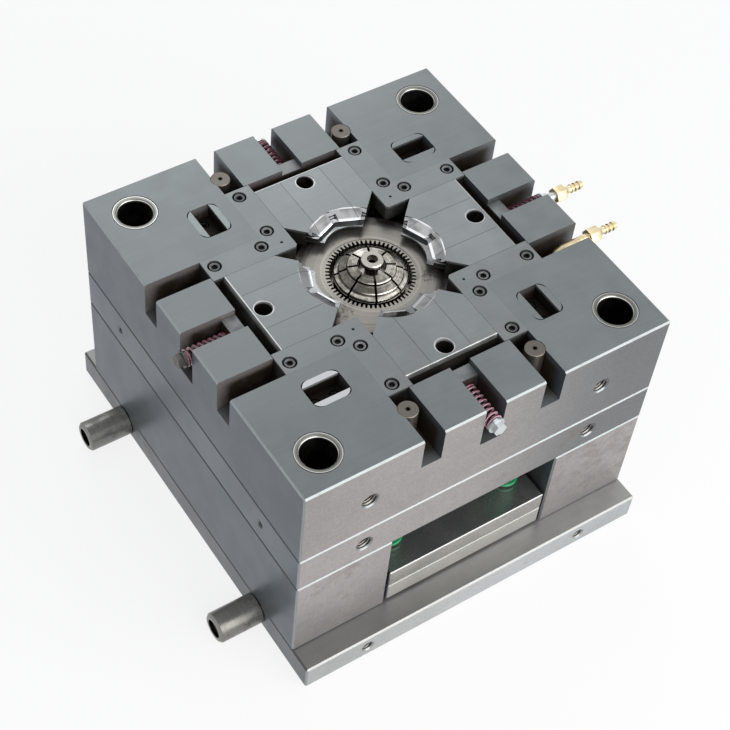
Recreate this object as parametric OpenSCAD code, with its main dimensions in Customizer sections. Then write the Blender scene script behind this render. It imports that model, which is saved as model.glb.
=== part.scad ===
// Injection mould, moving half: a square mould base with an ejector box,
// four side-acting slides held by L-shaped gibs, and a collapsible core of
// eight segments inside a toothed ring insert. The parting face is on top.
// Origin: centre of the clamp plate's underside. X is right, Y is back, Z is up.

/* [Mould base] */
// Width of the mould base along X
base_w = 350; // [336:2:400]
// Length of the mould base along Y
base_l = 350; // [340:2:400]
// Clamp plate overhang past the base, front and back
clamp_overhang = 23; // [12:1:40]
// Clamp plate thickness
clamp_t = 27; // [24:1:36]
// Spacer block height
spacer_h = 95; // [90:1:115]
// Width of the ejector box, between the spacers
box_w = 166; // [158:1:182]
// Support plate thickness
support_t = 40; // [34:1:55]
// Cavity plate thickness
cavity_t = 85; // [72:1:105]
// Chamfer on every edge of the plates
edge_chamfer = 1.5; // [0.5:0.1:2.5]

/* [Guiding and locking] */
// Guide bush bore diameter
bush_bore_d = 30; // [24:0.5:31]
// Guide bush outside diameter
bush_d = 37.5; // [36:0.5:42]
// Distance of the bush centres from the plate edges
bush_inset = 32.5; // [28:0.5:38]
// Guide bush shoulder diameter at the back of the cavity plate
bush_shoulder_d = 42; // [40:0.5:46]
// Guide bush shoulder thickness
bush_shoulder_t = 8; // [5:0.5:12]
// Parting lock body length, along its slot
lock_l = 34; // [30:1:38]
// Parting lock body width, across its slot
lock_w = 28; // [24:1:30]
// Parting lock slot width
lock_slot_w = 17; // [14:0.5:18]
// Parting lock body height
lock_h = 22; // [18:1:26]
// Parting lock slot depth
lock_slot_depth = 14; // [10:0.5:16]
// Corner radius of the lock bodies
lock_corner_r = 8.5; // [7:0.5:9]
// Corner radius of the milled lock pockets
lock_pocket_r = 6; // [4:0.5:6.5]
// Distance of the lock centres from the mould axis, along the slot
lock_x = 104.5; // [102:0.5:108]
// Distance of the lock centres from the mould axis, across the slot
lock_y = 93.7; // [92:0.1:98]
// Lock screw length
lock_screw_l = 15; // [13:0.5:18]
// Lock screw spacing
lock_screw_pitch = 18; // [14:0.5:20]

/* [Slides] */
// Slide width between the gib lips
slide_w = 88; // [84:1:92]
// Depth of the slide channels below the parting face
channel_depth = 33.5; // [31:0.5:38]
// How far the slides stand open from their closed position
slide_open = 23; // [16:0.5:24]
// Width of each ear under the gib lip
ear_w = 9.8; // [7:0.1:11]
// Running clearance of the slides under and between the gibs
slide_clear = 0.2; // [0.1:0.05:0.3]
// Half gap left between neighbouring slides when closed
mitre_clear = 0.2; // [0.1:0.05:0.4]
// Radius of the stop face behind each open slide
stop_r = 124.8; // [123:0.1:127]
// Clearance between the slide base and its stop
stop_clear = 0.4; // [0.2:0.1:1]
// Set-back of the slide's top edge from its base
heel_setback = 7.7; // [6:0.1:9]
// Heel angle of the slide's rear face
heel_angle = 15; // [8:1:20]
// Chamfer on the slide's rear top edge
heel_chamfer = 2.5; // [1:0.5:4]
// Angle pin hole diameter
pin_hole_d = 15; // [12:0.5:15]
// Distance of the angle pin holes inside the stop faces, slides open
pin_hole_in = 20.8; // [19.8:0.1:22.8]
// Angle pin inclination
pin_angle = 15; // [10:1:15]
// Slide insert width
insert_w = 39; // [30:1:44]
// Distance of the slide inserts' rear ends inside the stop faces, slides open
insert_end_in = 11.8; // [10.8:0.1:12.8]
// Fit clearance between fixed pieces
fit = 0.05; // [0.02:0.01:0.1]

/* [Slide nose] */
// Radius of the cavity rim on the parting face
rim_r = 41.5; // [40:0.5:44]
// Apothem of the eight flats at their foot
flat_apothem = 31.5; // [30:0.5:33]
// Depth of the foot of the flats
flat_depth = 5; // [4:0.5:6]
// Narrow land at the foot of the flats
flat_land = 1.2; // [0.8:0.1:2]
// Depth of the ledge
ledge_depth = 8.5; // [7.5:0.5:9]
// Inner radius of the ledge lip
lip_r = 27; // [26.8:0.1:28.5]
// Depth of the lip underside
lip_depth = 10.5; // [10:0.1:10.6]
// Radius of the rim recess under the lip
recess_r = 42.7; // [42:0.1:46]
// Width of the small square pockets between the flats
lug_w = 7; // [5:0.5:8]
// Length of the small square pockets
lug_l = 7; // [5:0.5:8]

/* [Slide rods and springs] */
// Depth of the slide rod axis below the parting face
rod_drop = 19.6; // [19.6:0.1:21]
// Slide rod diameter
rod_d = 8; // [6:0.5:8]
// Clearance hole for the slide rod
rod_hole_d = 9; // [8.8:0.1:10]
// Outer face of the bridge that the spring pushes on
bridge_r = 137.5; // [133:0.5:142]
// Depth of the bridge's top below the parting face
bridge_drop = 6; // [4:0.5:9]
// Spring slot width
spring_slot_w = 19.4; // [18.5:0.1:24]
// Spring slot depth
spring_slot_depth = 43; // [40:0.5:48]
// Slide spring outside diameter
slide_spring_d = 15.5; // [14:0.5:16]
// Slide spring wire diameter
slide_wire = 2.2; // [1.6:0.1:2.4]
// Slide spring coils
slide_coils = 9; // [7:1:11]
// How far the washer stands out from the side of the base, slides open
washer_out = 2; // [1:0.5:6]
// Washer thickness
washer_t = 2; // [1:0.5:3]
// Washer diameter
washer_d = 15; // [13:0.5:16.5]
// Hexagon head across flats
bolt_af = 10.5; // [9:0.5:13]
// Hexagon head height
bolt_head = 5; // [4:0.5:7]

/* [Gibs] */
// Gib lip thickness
gib_lip_t = 15; // [12:0.5:16]
// Outer side of the gibs from the mould axis
gib_outer = 67.3; // [66.5:0.1:69]
// Gap between the gib legs' ends and the stop faces
gib_end_gap = 0.5; // [0.3:0.1:4]
// Chamfer on the gib's inner tip
gib_tip = 2; // [1:0.5:4]
// First gib screw along the leg, from the mould axis
gib_screw_first = 71; // [69:0.5:74]
// Second gib screw's distance inside the stop faces
gib_screw_in = 9.3; // [8.5:0.1:12]
// Gib screw distance from the slide axis
gib_screw_off = 58; // [57.5:0.1:60]
// Gib screw thread diameter
gib_screw_d = 6; // [5:0.5:6]
// Gib jack hole distance from both axes
gib_jack = 54; // [52:0.5:56]
// Half width of the blocks behind the slides
block_half = 48.2; // [46:0.1:50]

/* [Core] */
// Core block flange radius
core_r = 64; // [60:0.5:64]
// Depth of the core block top
core_drop = 15.5; // [15.5:0.1:16.5]
// Core block shank radius
core_shank_r = 55; // [50:0.5:58]
// Number of teeth in the ring insert
ring_teeth = 60; // [36:1:72]
// Ring insert outer radius
ring_r = 42.5; // [42:0.1:44]
// Tooth root radius
tooth_root_r = 38; // [37.4:0.1:39]
// Tooth tip radius
tooth_tip_r = 34.5; // [33.5:0.1:35.5]
// Ring insert thickness
ring_t = 14.5; // [12:0.5:18]
// Number of core segments
segment_n = 8; // [8:1:8]
// Gap between neighbouring segments
segment_gap = 2; // [1.8:0.1:2.4]
// Bearing of the first gap
segment_turn = 20.3; // [0:0.1:45]
// Bore radius at the top of the segments
segment_bore_r = 12.3; // [12:0.1:13]
// Bore taper, radius lost per millimetre of depth
core_taper = 0.06; // [0.05:0.005:0.07]
// Depth of the top of the segments
segment_drop = 5; // [4.5:0.1:5.5]
// Segment foot radius
foot_r = 36.6; // [35.5:0.1:36.7]
// Segment foot height
foot_h = 8; // [6:0.5:10]
// Running clearance of the segments
segment_clear = 0.15; // [0.1:0.05:0.2]
// Clearance between the segment bores and the centre pin
centre_clear = 0.3; // [0.2:0.05:0.4]

/* [Centre pin] */
// Head diameter
pin_head_d = 18.6; // [16:0.2:19]
// Head height above the parting face
pin_head_up = 2; // [1:0.5:4]
// Head thickness
pin_head_t = 5; // [4:0.5:6]
// Head socket diameter
pin_socket_d = 9.3; // [7:0.1:10]
// Neck diameter
pin_neck_d = 11.5; // [10:0.5:13]
// Depth of the top of the cone
cone_drop = 13; // [12:0.5:15]
// Shank diameter
pin_shank_d = 15; // [12:0.2:15.2]

/* [Ejector set] */
// Ejector stroke
ejector_stroke = 40; // [30:1:42]
// Rest button thickness
button_t = 3; // [2:0.5:5]
// Rest button diameter
button_d = 20; // [14:1:24]
// Rest button inset from the ejector plate's sides
button_side = 16; // [12:1:24]
// Rest button inset from the ejector plate's ends
button_end = 20; // [14:1:30]
// Depth of the rest buttons' spigots
button_spigot = 8; // [5:1:12]
// Ejector plate thickness
ejector_t = 20; // [16:1:24]
// Retainer plate thickness
retainer_t = 20; // [16:1:24]
// Gap between the ejector plates and the spacers
ejector_gap = 2.5; // [1:0.5:5]
// Gap between the ejector plate ends and the base
ejector_end_gap = 0.5; // [0.2:0.1:3]
// Return pin diameter
return_d = 17; // [14:0.5:17.5]
// Return pin distance from the mould axis, across
return_x = 61; // [59:0.5:63]
// Return pin distance beyond the slides' stop faces
return_off = 17.4; // [15:0.1:20]
// Pin head height
pin_flange_t = 8; // [5:0.5:9]
// Pin head width beyond the shank, per side
pin_flange_w = 2.5; // [2:0.5:3]
// Return spring outside diameter
return_spring_d = 25; // [24:0.5:27]
// Return spring wire width
return_wire_w = 3; // [2:0.5:3.2]
// Return spring wire thickness
return_wire_t = 3.2; // [2:0.1:3.5]
// Return spring coils
return_coils = 8; // [6:1:9]
// Spring pocket depth in the support plate
spring_pocket = 18; // [10:1:22]
// Support pillar diameter
pillar_d = 32; // [24:1:36]
// Support pillar position
pillar_at = [45, 70];
// Ejector plate screw position
ejector_screw_at = [68, 105];

/* [Fasteners and legs] */
// Mould base screw diameter
base_screw_d = 16; // [12:1:16]
// Mould base screw position
base_screw_at = [135, 75];
// Small screw diameter for pillars, core and ejector plates
small_screw_d = 8; // [6:1:8]
// Lock screw diameter
lock_screw_d = 5; // [4:0.5:5]
// Core screw circle radius
core_screw_r = 46; // [44:0.5:48]
// Side leg diameter
leg_d = 28; // [22:1:28]
// Side leg length
leg_l = 42; // [30:1:60]
// Side leg distance from the mould axis
leg_y = 117; // [108:1:130]
// Side leg screw diameter
leg_screw_d = 10; // [8:1:10]
// Knock-out hole diameter
knockout_d = 40; // [30:1:50]
// Lifting thread diameter
lift_d = 14; // [12:0.5:16]
// Depth of the lifting threads
lift_depth = 28; // [20:1:32]
// Lifting thread distance from the mould axis
lift_x = 113; // [105:1:118]
// Depth of the cavity plate's lifting threads below the parting face
lift_drop = 45; // [38:1:52]

/* [Cooling] */
// Hose barb diameter
barb_d = 8; // [6:0.5:9]
// Cooling pipe diameter
pipe_d = 8; // [6:0.5:9]
// Depth of the cooling pipe axis below the parting face
pipe_drop = 14; // [12:0.5:18]
// Elbow radius of the cooling pipe
pipe_bend = 14; // [12:0.5:16]
// Cooling pipe reach past the side of the mould
pipe_reach = 15; // [10:1:25]
// Nipple hexagon across flats
nipple_af = 13; // [11:0.5:15]
// Nipple hexagon length
nipple_hex = 15; // [8:0.5:18]
// Nipple tail length
nipple_tail = 15.5; // [12:0.5:20]
// Barb rings on each tail
barb_n = 3; // [2:1:4]

/* [Hidden] */

// Roundness of cylinders, steps in each coil, and pitch of the closed end coils in wires
round_fn = 96;
coil_steps = 14;
coil_close = 1.08;
// Small overlap that keeps cuts clean
eps = 0.5;
// Long enough to pass any plate
far = 300;

// Heights, from the underside of the clamp plate
clamp_top = clamp_t;
box_top = clamp_top + spacer_h;
support_top = box_top + support_t;
part_z = support_top + cavity_t;
floor_z = part_z - channel_depth;
ejector_z = clamp_top + button_t;
retainer_z = ejector_z + ejector_t;
retainer_top = retainer_z + retainer_t;
pocket_z = box_top + spring_pocket;

// Slides, in closed position unless noted, measured from the mould axis
slide_h = channel_depth - slide_clear;
ear_drop = gib_lip_t + slide_clear;
ear_half = slide_w / 2 + ear_w;
base_back_r = stop_r - stop_clear - slide_open;
top_back_r = base_back_r - heel_setback;
nose_bottom = core_drop - slide_clear;
deep_r = core_r + 2.5 * slide_clear;
pin_hole_r = stop_r - pin_hole_in;
pin_closed_r = pin_hole_r - slide_open;
pin_hole_rim = 1.2;
pin_foot = 6;
pin_foot_rim = 1.5;
insert_end = stop_r - insert_end_in - slide_open;
rod_end_r = pin_hole_r + (rod_drop + rod_d / 2) * tan(pin_angle) + pin_hole_d / 2 / cos(pin_angle) + 0.6;
pin_relief_r = pin_closed_r + slide_h * tan(pin_angle) + 2;
pin_relief_d = pin_hole_d + 6;
pin_relief_h = 22;
wear_half = slide_w / 2 - 8;
wear_margin = 6;
wear_t = 5;
groove_l = 18;
groove_w = 1.6;

// Gibs
gib_end = stop_r - gib_end_gap;
gib_screw_at = [gib_screw_first, stop_r - gib_screw_in];
gib_lip_in = slide_w / 2 + slide_clear;
gib_body_in = ear_half + slide_clear;
gib_head_d = 1.5 * gib_screw_d + 1;
gib_bore_d = gib_head_d + 2.2;
gib_screw_sink = 0.4;

// Mould base places
tap_point = 0.14;
box_half = box_w / 2;
spacer_w = base_w / 2 - box_half;
ejector_half = box_half - ejector_gap;
ejector_l = base_l - 2 * ejector_end_gap;
bush_x = base_w / 2 - bush_inset;
bush_y = base_l / 2 - bush_inset;
return_y = stop_r + return_off;
clamp_l = base_l + 2 * clamp_overhang;
base_screw_in = 25;
lift_cavity_z = part_z - lift_drop;
lift_support_z = box_top + support_t / 2;
lift_clamp_z = clamp_t / 2;
side_thread_d = 6;
slot_mid = (block_half + gib_outer) / 2;
pipe_off = slot_mid;
pipe_inset = 30;

// Core
core_top = part_z - core_drop;
ring_z = core_top - ring_t;
foot_top = ring_z - segment_clear;
foot_z = foot_top - foot_h;
segment_pocket_z = foot_z - segment_clear;
segment_pocket_r = foot_r + 0.5;
segment_top = part_z - segment_drop;
cone_top = part_z - cone_drop;
cone_z = foot_z - ejector_stroke;
function bore_r(z) = segment_bore_r - core_taper * (segment_top - z);
function cone_r(z) = bore_r(z) - centre_clear;
pin_clear_r = cone_r(segment_pocket_z) + 2;

// Repeated positions

module at_corners(x, y) {
    for (sx = [-1, 1], sy = [-1, 1])
        translate([sx * x, sy * y, 0]) children();
}

module around(n) {
    for (i = [0:n - 1])
        rotate([0, 0, 360 / n * i]) children();
}

// Plain shapes

module chamfer_rect(w, l, c) {
    polygon([
        [-w / 2 + c, -l / 2], [w / 2 - c, -l / 2], [w / 2, -l / 2 + c], [w / 2, l / 2 - c],
        [w / 2 - c, l / 2], [-w / 2 + c, l / 2], [-w / 2, l / 2 - c], [-w / 2, -l / 2 + c]
    ]);
}

// Block with all its edges chamfered, standing on z = 0
module chamfer_block(w, l, h, c) {
    intersection() {
        linear_extrude(h) chamfer_rect(w, l, c);
        translate([0, l / 2, h / 2]) rotate([90, 0, 0])
            linear_extrude(l) chamfer_rect(w, h, c);
        translate([-w / 2, 0, h / 2]) rotate([90, 0, 90])
            linear_extrude(w) chamfer_rect(l, h, c);
    }
}

// Rectangle with round corners, made of true arcs
module round_rect(w, l, r) {
    square([w - 2 * r, l], center = true);
    square([w, l - 2 * r], center = true);
    for (sx = [-1, 1], sy = [-1, 1])
        translate([sx * (w / 2 - r), sy * (l / 2 - r)]) circle(r, $fn = 48);
}

module box_from(x0, x1, y0, y1, z0, z1) {
    translate([x0, y0, z0]) cube([x1 - x0, y1 - y0, z1 - z0]);
}

module rod(r, z0, z1) {
    translate([0, 0, z0]) cylinder(r = r, h = z1 - z0, $fn = round_fn);
}

// Threaded hole seen from its mouth: a tap bore with a chamfered mouth and a drilled point, going down
module tapped(d, depth) {
    point = tap_point * d;
    translate([0, 0, -depth]) cylinder(d = d, h = depth + eps, $fn = 48);
    translate([0, 0, -depth - point]) cylinder(d1 = d / 6, d2 = d, h = point + eps / 50, $fn = 48);
    translate([0, 0, -1.2]) cylinder(d1 = d, d2 = d + 3.4, h = 1.7, $fn = 48);
}

// Cap screw with its head's top at z = 0 and its shank pointing down
module cap_screw(d, length) {
    head_h = d;
    difference() {
        union() {
            translate([0, 0, -head_h]) cylinder(d = 1.5 * d + 1, h = head_h, $fn = 48);
            translate([0, 0, -length]) cylinder(d = d, h = length, $fn = 48);
        }
        translate([0, 0, -0.55 * d]) cylinder(d = 0.95 * d, h = d, $fn = 6);
    }
}

// Hole for the cap screw: counterbore, clearance and thread
module cap_screw_hole(d, length, sink, thread_from) {
    translate([0, 0, -d - sink]) cylinder(d = 1.5 * d + 2, h = d + sink + eps, $fn = 48);
    translate([0, 0, -thread_from]) cylinder(d = d + 0.6, h = thread_from, $fn = 48);
    translate([0, 0, -length - 2]) cylinder(d = d + 2 * fit, h = length, $fn = 48);
}

// Coil spring standing on z = 0, with closed ends; section is a list of [radial, axial]
function coil_rise(n, turns, wire, pitch) =
    wire / 2 + coil_close * wire * min(n, 1) + pitch * min(max(n - 1, 0), turns - 2)
    + coil_close * wire * max(n - turns + 1, 0);

module coil_spring(mean_r, section, wire, length, turns) {
    rings = turns * coil_steps;
    sides = len(section);
    pitch = (length - (1 + 2 * coil_close) * wire) / (turns - 2);
    points = [
        for (k = [0:rings], s = section)
        let (n = k / coil_steps, a = 360 * n, r = mean_r + s[0])
        [r * cos(a), r * sin(a), coil_rise(n, turns, wire, pitch) + s[1]]
    ];
    skin = [
        for (k = [0:rings - 1], s = [0:sides - 1])
        let (a = k * sides + s, b = k * sides + (s + 1) % sides)
        each [[a, a + sides, b], [b, a + sides, b + sides]]
    ];
    ends = [
        [for (s = [0:sides - 1]) s],
        [for (s = [sides - 1:-1:0]) rings * sides + s]
    ];
    polyhedron(points = points, faces = concat(skin, ends), convexity = 8);
}

function round_wire(d) = [for (i = [0:5]) [d / 2 * cos(60 * i), d / 2 * sin(60 * i)]];
function flat_wire(w, t) = [[w / 2, t / 2], [-w / 2, t / 2], [-w / 2, -t / 2], [w / 2, -t / 2]];

// Mould base

module base_screw_holes(z_lo, z_hi, d) {
    at_corners(base_screw_at[0], base_screw_at[1])
        translate([0, 0, z_lo - eps]) cylinder(d = d, h = z_hi - z_lo + 2 * eps, $fn = 48);
}

// Lifting threads in the front and back faces of a plate
module lifting_holes(length, z, d, depth) {
    for (sx = [-1, 1], sy = [-1, 1])
        translate([sx * lift_x, sy * length / 2, z]) rotate([-90 * sy, 0, 0]) tapped(d, depth);
}

module clamp_plate() {
    leg_hole = 30;
    color("#8d8f90") difference() {
        chamfer_block(base_w, clamp_l, clamp_t, edge_chamfer);
        rod(knockout_d / 2, -eps, clamp_t + eps);
        base_screw_holes(0, clamp_t, base_screw_d + 1);
        at_corners(base_screw_at[0], base_screw_at[1])
            rod(0.75 * base_screw_d + 1, -eps, base_screw_d + 1);
        at_corners(pillar_at[0], pillar_at[1]) {
            rod(small_screw_d / 2 + 0.5, -eps, clamp_t + eps);
            rod(0.75 * small_screw_d + 1, -eps, small_screw_d + 1);
        }
        button_places() rod(button_d / 5 + fit, clamp_t - 10, clamp_t + eps);
        for (sy = [-1, 1])
            translate([-base_w / 2, sy * leg_y, leg_d / 2]) rotate([0, -90, 0])
                tapped(leg_screw_d, leg_hole);
        lifting_holes(clamp_l, lift_clamp_z, lift_d - 4, lift_depth - 6);
    }
}

module spacer(side) {
    color("#9a9890") difference() {
        translate([side * (box_half + spacer_w / 2), 0, clamp_top])
            chamfer_block(spacer_w, base_l, spacer_h, edge_chamfer);
        base_screw_holes(clamp_top, box_top, base_screw_d + 1);
    }
}

module spacer_left() {
    spacer(-1);
}

module spacer_right() {
    spacer(1);
}

module support_plate() {
    color("#96958f") difference() {
        translate([0, 0, box_top]) chamfer_block(base_w, base_l, support_t, edge_chamfer);
        base_screw_holes(box_top, support_top, base_screw_d + 1);
        at_corners(return_x, return_y) {
            rod(return_d / 2 + 0.3, box_top - eps, support_top + eps);
            rod(return_spring_d / 2 + 1, box_top - eps, pocket_z);
        }
        rod(pin_shank_d / 2 + fit, box_top - eps, support_top + eps);
        core_screw_places() {
            rod(small_screw_d / 2 + 0.3, box_top - eps, support_top + eps);
            rod(0.75 * small_screw_d + 1, box_top - eps, box_top + small_screw_d + 1);
        }
        lifting_holes(base_l, lift_support_z, lift_d, lift_depth);
        for (sx = [-1, 1], sy = [-1, 1])
            translate([sx * base_w / 2, sy * leg_y, lift_support_z]) rotate([0, 90 * sx, 0])
                tapped(side_thread_d, 2 * side_thread_d);
    }
}

// Cavity plate

// Everything milled from the top for one slide, drawn for the front slide
module slide_channel() {
    box_from(-gib_outer - fit, gib_outer + fit, -stop_r, 0, floor_z, part_z + eps);
    for (sx = [-1, 1])
        translate([sx * slot_mid, 0, 0])
            box_from(-(gib_outer - block_half) / 2, (gib_outer - block_half) / 2,
                -far, -stop_r + eps, floor_z, part_z + eps);
    box_from(-spring_slot_w / 2, spring_slot_w / 2, -far, -bridge_r,
        part_z - spring_slot_depth, part_z + eps);
    box_from(-spring_slot_w / 2, spring_slot_w / 2, -bridge_r - eps, -stop_r + eps,
        part_z - bridge_drop, part_z + eps);
    translate([0, -stop_r + eps, part_z - rod_drop]) rotate([90, 0, 0])
        cylinder(d = rod_hole_d, h = bridge_r - stop_r + 2 * eps, $fn = 48);
    wear_plate_shape(fit, fit);
    translate([0, -pin_relief_r, floor_z - pin_relief_h])
        cylinder(d = pin_relief_d, h = pin_relief_h + eps, $fn = 64);
}

module cavity_plate() {
    color("#9ba0a3") difference() {
        translate([0, 0, support_top]) chamfer_block(base_w, base_l, cavity_t, edge_chamfer);
        around(4) slide_channel();
        rod(core_shank_r + fit, support_top - eps, part_z);
        at_corners(bush_x, bush_y) {
            rod(bush_d / 2 + fit, support_top - eps, part_z + eps);
            rod(bush_shoulder_d / 2 + fit, support_top - eps, support_top + bush_shoulder_t);
            rod(bush_d / 2 + 0.8, part_z - 0.8, part_z + eps);
        }
        at_corners(return_x, return_y) {
            rod(return_d / 2 + 0.05, support_top - eps, part_z + eps);
        }
        lock_places() {
            translate([0, 0, part_z - lock_h])
                linear_extrude(lock_h + eps) round_rect(lock_l + 2 * fit, lock_w + 2 * fit, lock_pocket_r);
            lock_screw_places() translate([0, 0, part_z - lock_slot_depth - 6 - lock_screw_d - 5])
                cylinder(d = lock_screw_d + 2 * fit, h = 15, $fn = 48);
        }
        gib_screw_places() rod(gib_screw_d / 2 + fit, floor_z - 16, floor_z + eps);
        base_screw_holes(support_top - 1, support_top + base_screw_in + 3, base_screw_d + 2 * fit);
        lifting_holes(base_l, lift_cavity_z, lift_d, lift_depth);
        translate([base_w / 2 - pipe_inset, -pipe_off, floor_z - 12])
            cylinder(d = pipe_d + 2 * fit, h = 12 + eps, $fn = 48);
    }
}

module guide_bushes() {
    color("#6e6c66") at_corners(bush_x, bush_y) difference() {
        union() {
            rod(bush_d / 2, support_top, part_z - 0.1);
            rod(bush_shoulder_d / 2, support_top, support_top + bush_shoulder_t - fit);
        }
        rod(bush_bore_d / 2, support_top - eps, part_z + eps);
        translate([0, 0, part_z - 1.3])
            cylinder(d1 = bush_bore_d, d2 = bush_bore_d + 3.6, h = 1.8, $fn = round_fn);
    }
}

// Parting locks: the slots run along X at the front left, and turn with each corner
module lock_places() {
    around(4) translate([-lock_x - fit, -lock_y, 0]) children();
}

module lock_screw_places() {
    for (sx = [-1, 1]) translate([sx * lock_screw_pitch / 2, 0, 0]) children();
}

module parting_locks() {
    base_t = lock_h - lock_slot_depth;
    color("#c9cdd0") lock_places() difference() {
        translate([0, 0, part_z - lock_h]) linear_extrude(lock_h - 0.1)
            round_rect(lock_l, lock_w, lock_corner_r);
        box_from(-lock_l, lock_l, -lock_slot_w / 2, lock_slot_w / 2,
            part_z - lock_slot_depth, part_z + eps);
        lock_screw_places() translate([0, 0, part_z - lock_slot_depth]) {
            translate([0, 0, -base_t - eps])
                cylinder(d = lock_screw_d + 0.4, h = base_t + 2 * eps, $fn = 48);
            translate([0, 0, -lock_screw_d - 0.2])
                cylinder(d = 1.5 * lock_screw_d + 2, h = lock_screw_d + 1, $fn = 48);
        }
    }
}

module parting_lock_screws() {
    color("#2a2a2a") lock_places() lock_screw_places()
        translate([0, 0, part_z - lock_slot_depth - 0.2]) cap_screw(lock_screw_d, lock_screw_l);
}

// Gibs, drawn for the back right corner

module gib_outline(inner) {
    polygon([
        [inner, inner], [gib_end, inner], [gib_end, gib_outer],
        [gib_outer, gib_outer], [gib_outer, gib_end], [inner, gib_end]
    ]);
}

module gib_screw_spots() {
    for (a = gib_screw_at) {
        translate([gib_screw_off, a, 0]) children();
        translate([a, gib_screw_off, 0]) children();
    }
}

module gib_screw_places() {
    around(4) gib_screw_spots() children();
}

module gib(turn) {
    color("#a3a8ab") rotate([0, 0, turn]) difference() {
        union() {
            translate([0, 0, part_z - gib_lip_t]) linear_extrude(gib_lip_t) gib_outline(gib_lip_in);
            translate([0, 0, floor_z]) linear_extrude(channel_depth) gib_outline(gib_body_in);
        }
        translate([gib_lip_in, gib_lip_in, floor_z]) rotate([0, 0, 45])
            cube([gib_tip * sqrt(2), 4 * gib_tip, 3 * channel_depth], center = true);
        gib_screw_spots() {
            rod(gib_screw_d / 2 + 0.3, floor_z - eps, part_z);
            rod(gib_bore_d / 2, part_z - gib_screw_d - gib_screw_sink, part_z + eps);
        }
        translate([gib_jack, gib_jack, part_z - gib_lip_t + 3])
            cylinder(d = 2.5, h = gib_lip_t, $fn = 24);
    }
}

module gib_front_left() {
    gib(180);
}

module gib_front_right() {
    gib(270);
}

module gib_back_right() {
    gib(0);
}

module gib_back_left() {
    gib(90);
}

module gib_screws() {
    color("#303234") gib_screw_places()
        translate([0, 0, part_z - gib_screw_sink])
            cap_screw(gib_screw_d, channel_depth + 14);
}

// Wear plates under the slides, set flush into the channel floor
module wear_plate_shape(grow, drop) {
    inner = core_r + wear_margin;
    outer = stop_r - wear_margin;
    box_from(-wear_half - grow, wear_half + grow, -outer - grow, -inner + grow,
        floor_z - wear_t - drop, floor_z + drop);
}

module wear_plates() {
    color("#b59a5a") around(4) difference() {
        wear_plate_shape(0, 0);
        translate([0, -pin_relief_r, floor_z - 2 * wear_t])
            cylinder(d = pin_relief_d, h = 4 * wear_t, $fn = 64);
        for (sx = [-1, 1], i = [-1:1])
            translate([sx * wear_half * 2 / 3, -(core_r + stop_r) / 2 - groove_l * 0.8 * i, floor_z])
                rotate([0, 0, 45 * sx]) cube([groove_l, groove_w, 2], center = true);
    }
}

// Core block, ring insert and collapsible core

module core_screw_places() {
    around(4) rotate([0, 0, 45]) translate([core_screw_r, 0, 0]) children();
}

module core_block() {
    color("#8f8c84") difference() {
        union() {
            rod(core_r, floor_z, core_top);
            rod(core_shank_r, support_top, floor_z);
        }
        rod(ring_r + fit, ring_z, part_z);
        rod(segment_pocket_r, segment_pocket_z, part_z);
        rod(pin_clear_r, support_top - eps, part_z);
        core_screw_places() rod(small_screw_d / 2 + fit, support_top - eps, support_top + 22);
    }
}

// Teeth point inwards; each is a flat-topped wedge
module ring_insert() {
    step = 360 / ring_teeth;
    tip = 0.16 * step;
    root = 0.30 * step;
    outline = [
        for (i = [0:ring_teeth - 1])
        let (a = step * i)
        each [
            tooth_root_r * [cos(a - root), sin(a - root)],
            tooth_tip_r * [cos(a - tip), sin(a - tip)],
            tooth_tip_r * [cos(a + tip), sin(a + tip)],
            tooth_root_r * [cos(a + root), sin(a + root)]
        ]
    ];
    color("#b4b0a6") difference() {
        rod(ring_r, ring_z, core_top);
        translate([0, 0, ring_z - eps]) linear_extrude(ring_t + 2 * eps) polygon(outline);
        rod(tooth_root_r + 1.2, core_top - 0.6, core_top + eps);
    }
}

module core_screws() {
    color("#303234") core_screw_places()
        translate([0, 0, box_top + 1]) rotate([180, 0, 0]) cap_screw(small_screw_d, support_t + 16);
}

// Outline of the collapsible core, radius against height: a stepped dome on a neck and foot
module core_profile() {
    t = segment_top;
    polygon([
        [0, foot_z], [foot_r, foot_z], [foot_r, foot_top],
        [30.4, foot_top], [30.4, t - 14.6], [31.2, t - 14.2], [31.2, t - 12.8],
        [30.4, t - 12.4], [30.4, t - 11.9], [31.2, t - 11.5], [31.2, t - 10.4], [30.6, t - 9.6],
        [28.4, t - 8.3], [27.4, t - 7.9], [27.4, t - 6.9], [26.8, t - 6.2],
        [22.4, t - 4.1], [20.9, t - 3.4], [20.6, t - 2.6], [20.6, t - 1.5], [20, t - 0.9],
        [segment_bore_r, t], [0, t]
    ]);
}

module core_segment(i) {
    half = 180 / segment_n;
    reach = 2 * foot_r;
    turn = segment_turn + 360 / segment_n * (i - 1) + half;
    color("#a8a198") rotate([0, 0, turn]) difference() {
        intersection() {
            rotate_extrude($fn = round_fn) core_profile();
            translate([segment_gap / 2 / sin(half), 0, foot_z - eps])
                linear_extrude(part_z - foot_z)
                    polygon([[0, 0], [reach, -reach * tan(half)], [reach, reach * tan(half)]]);
        }
        translate([0, 0, foot_z - 1])
            cylinder(r1 = bore_r(foot_z - 1), r2 = bore_r(segment_top + 1),
                h = segment_top - foot_z + 2, $fn = round_fn);
    }
}

module core_segment_1() {
    core_segment(1);
}

module core_segment_2() {
    core_segment(2);
}

module core_segment_3() {
    core_segment(3);
}

module core_segment_4() {
    core_segment(4);
}

module core_segment_5() {
    core_segment(5);
}

module core_segment_6() {
    core_segment(6);
}

module core_segment_7() {
    core_segment(7);
}

module core_segment_8() {
    core_segment(8);
}

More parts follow.
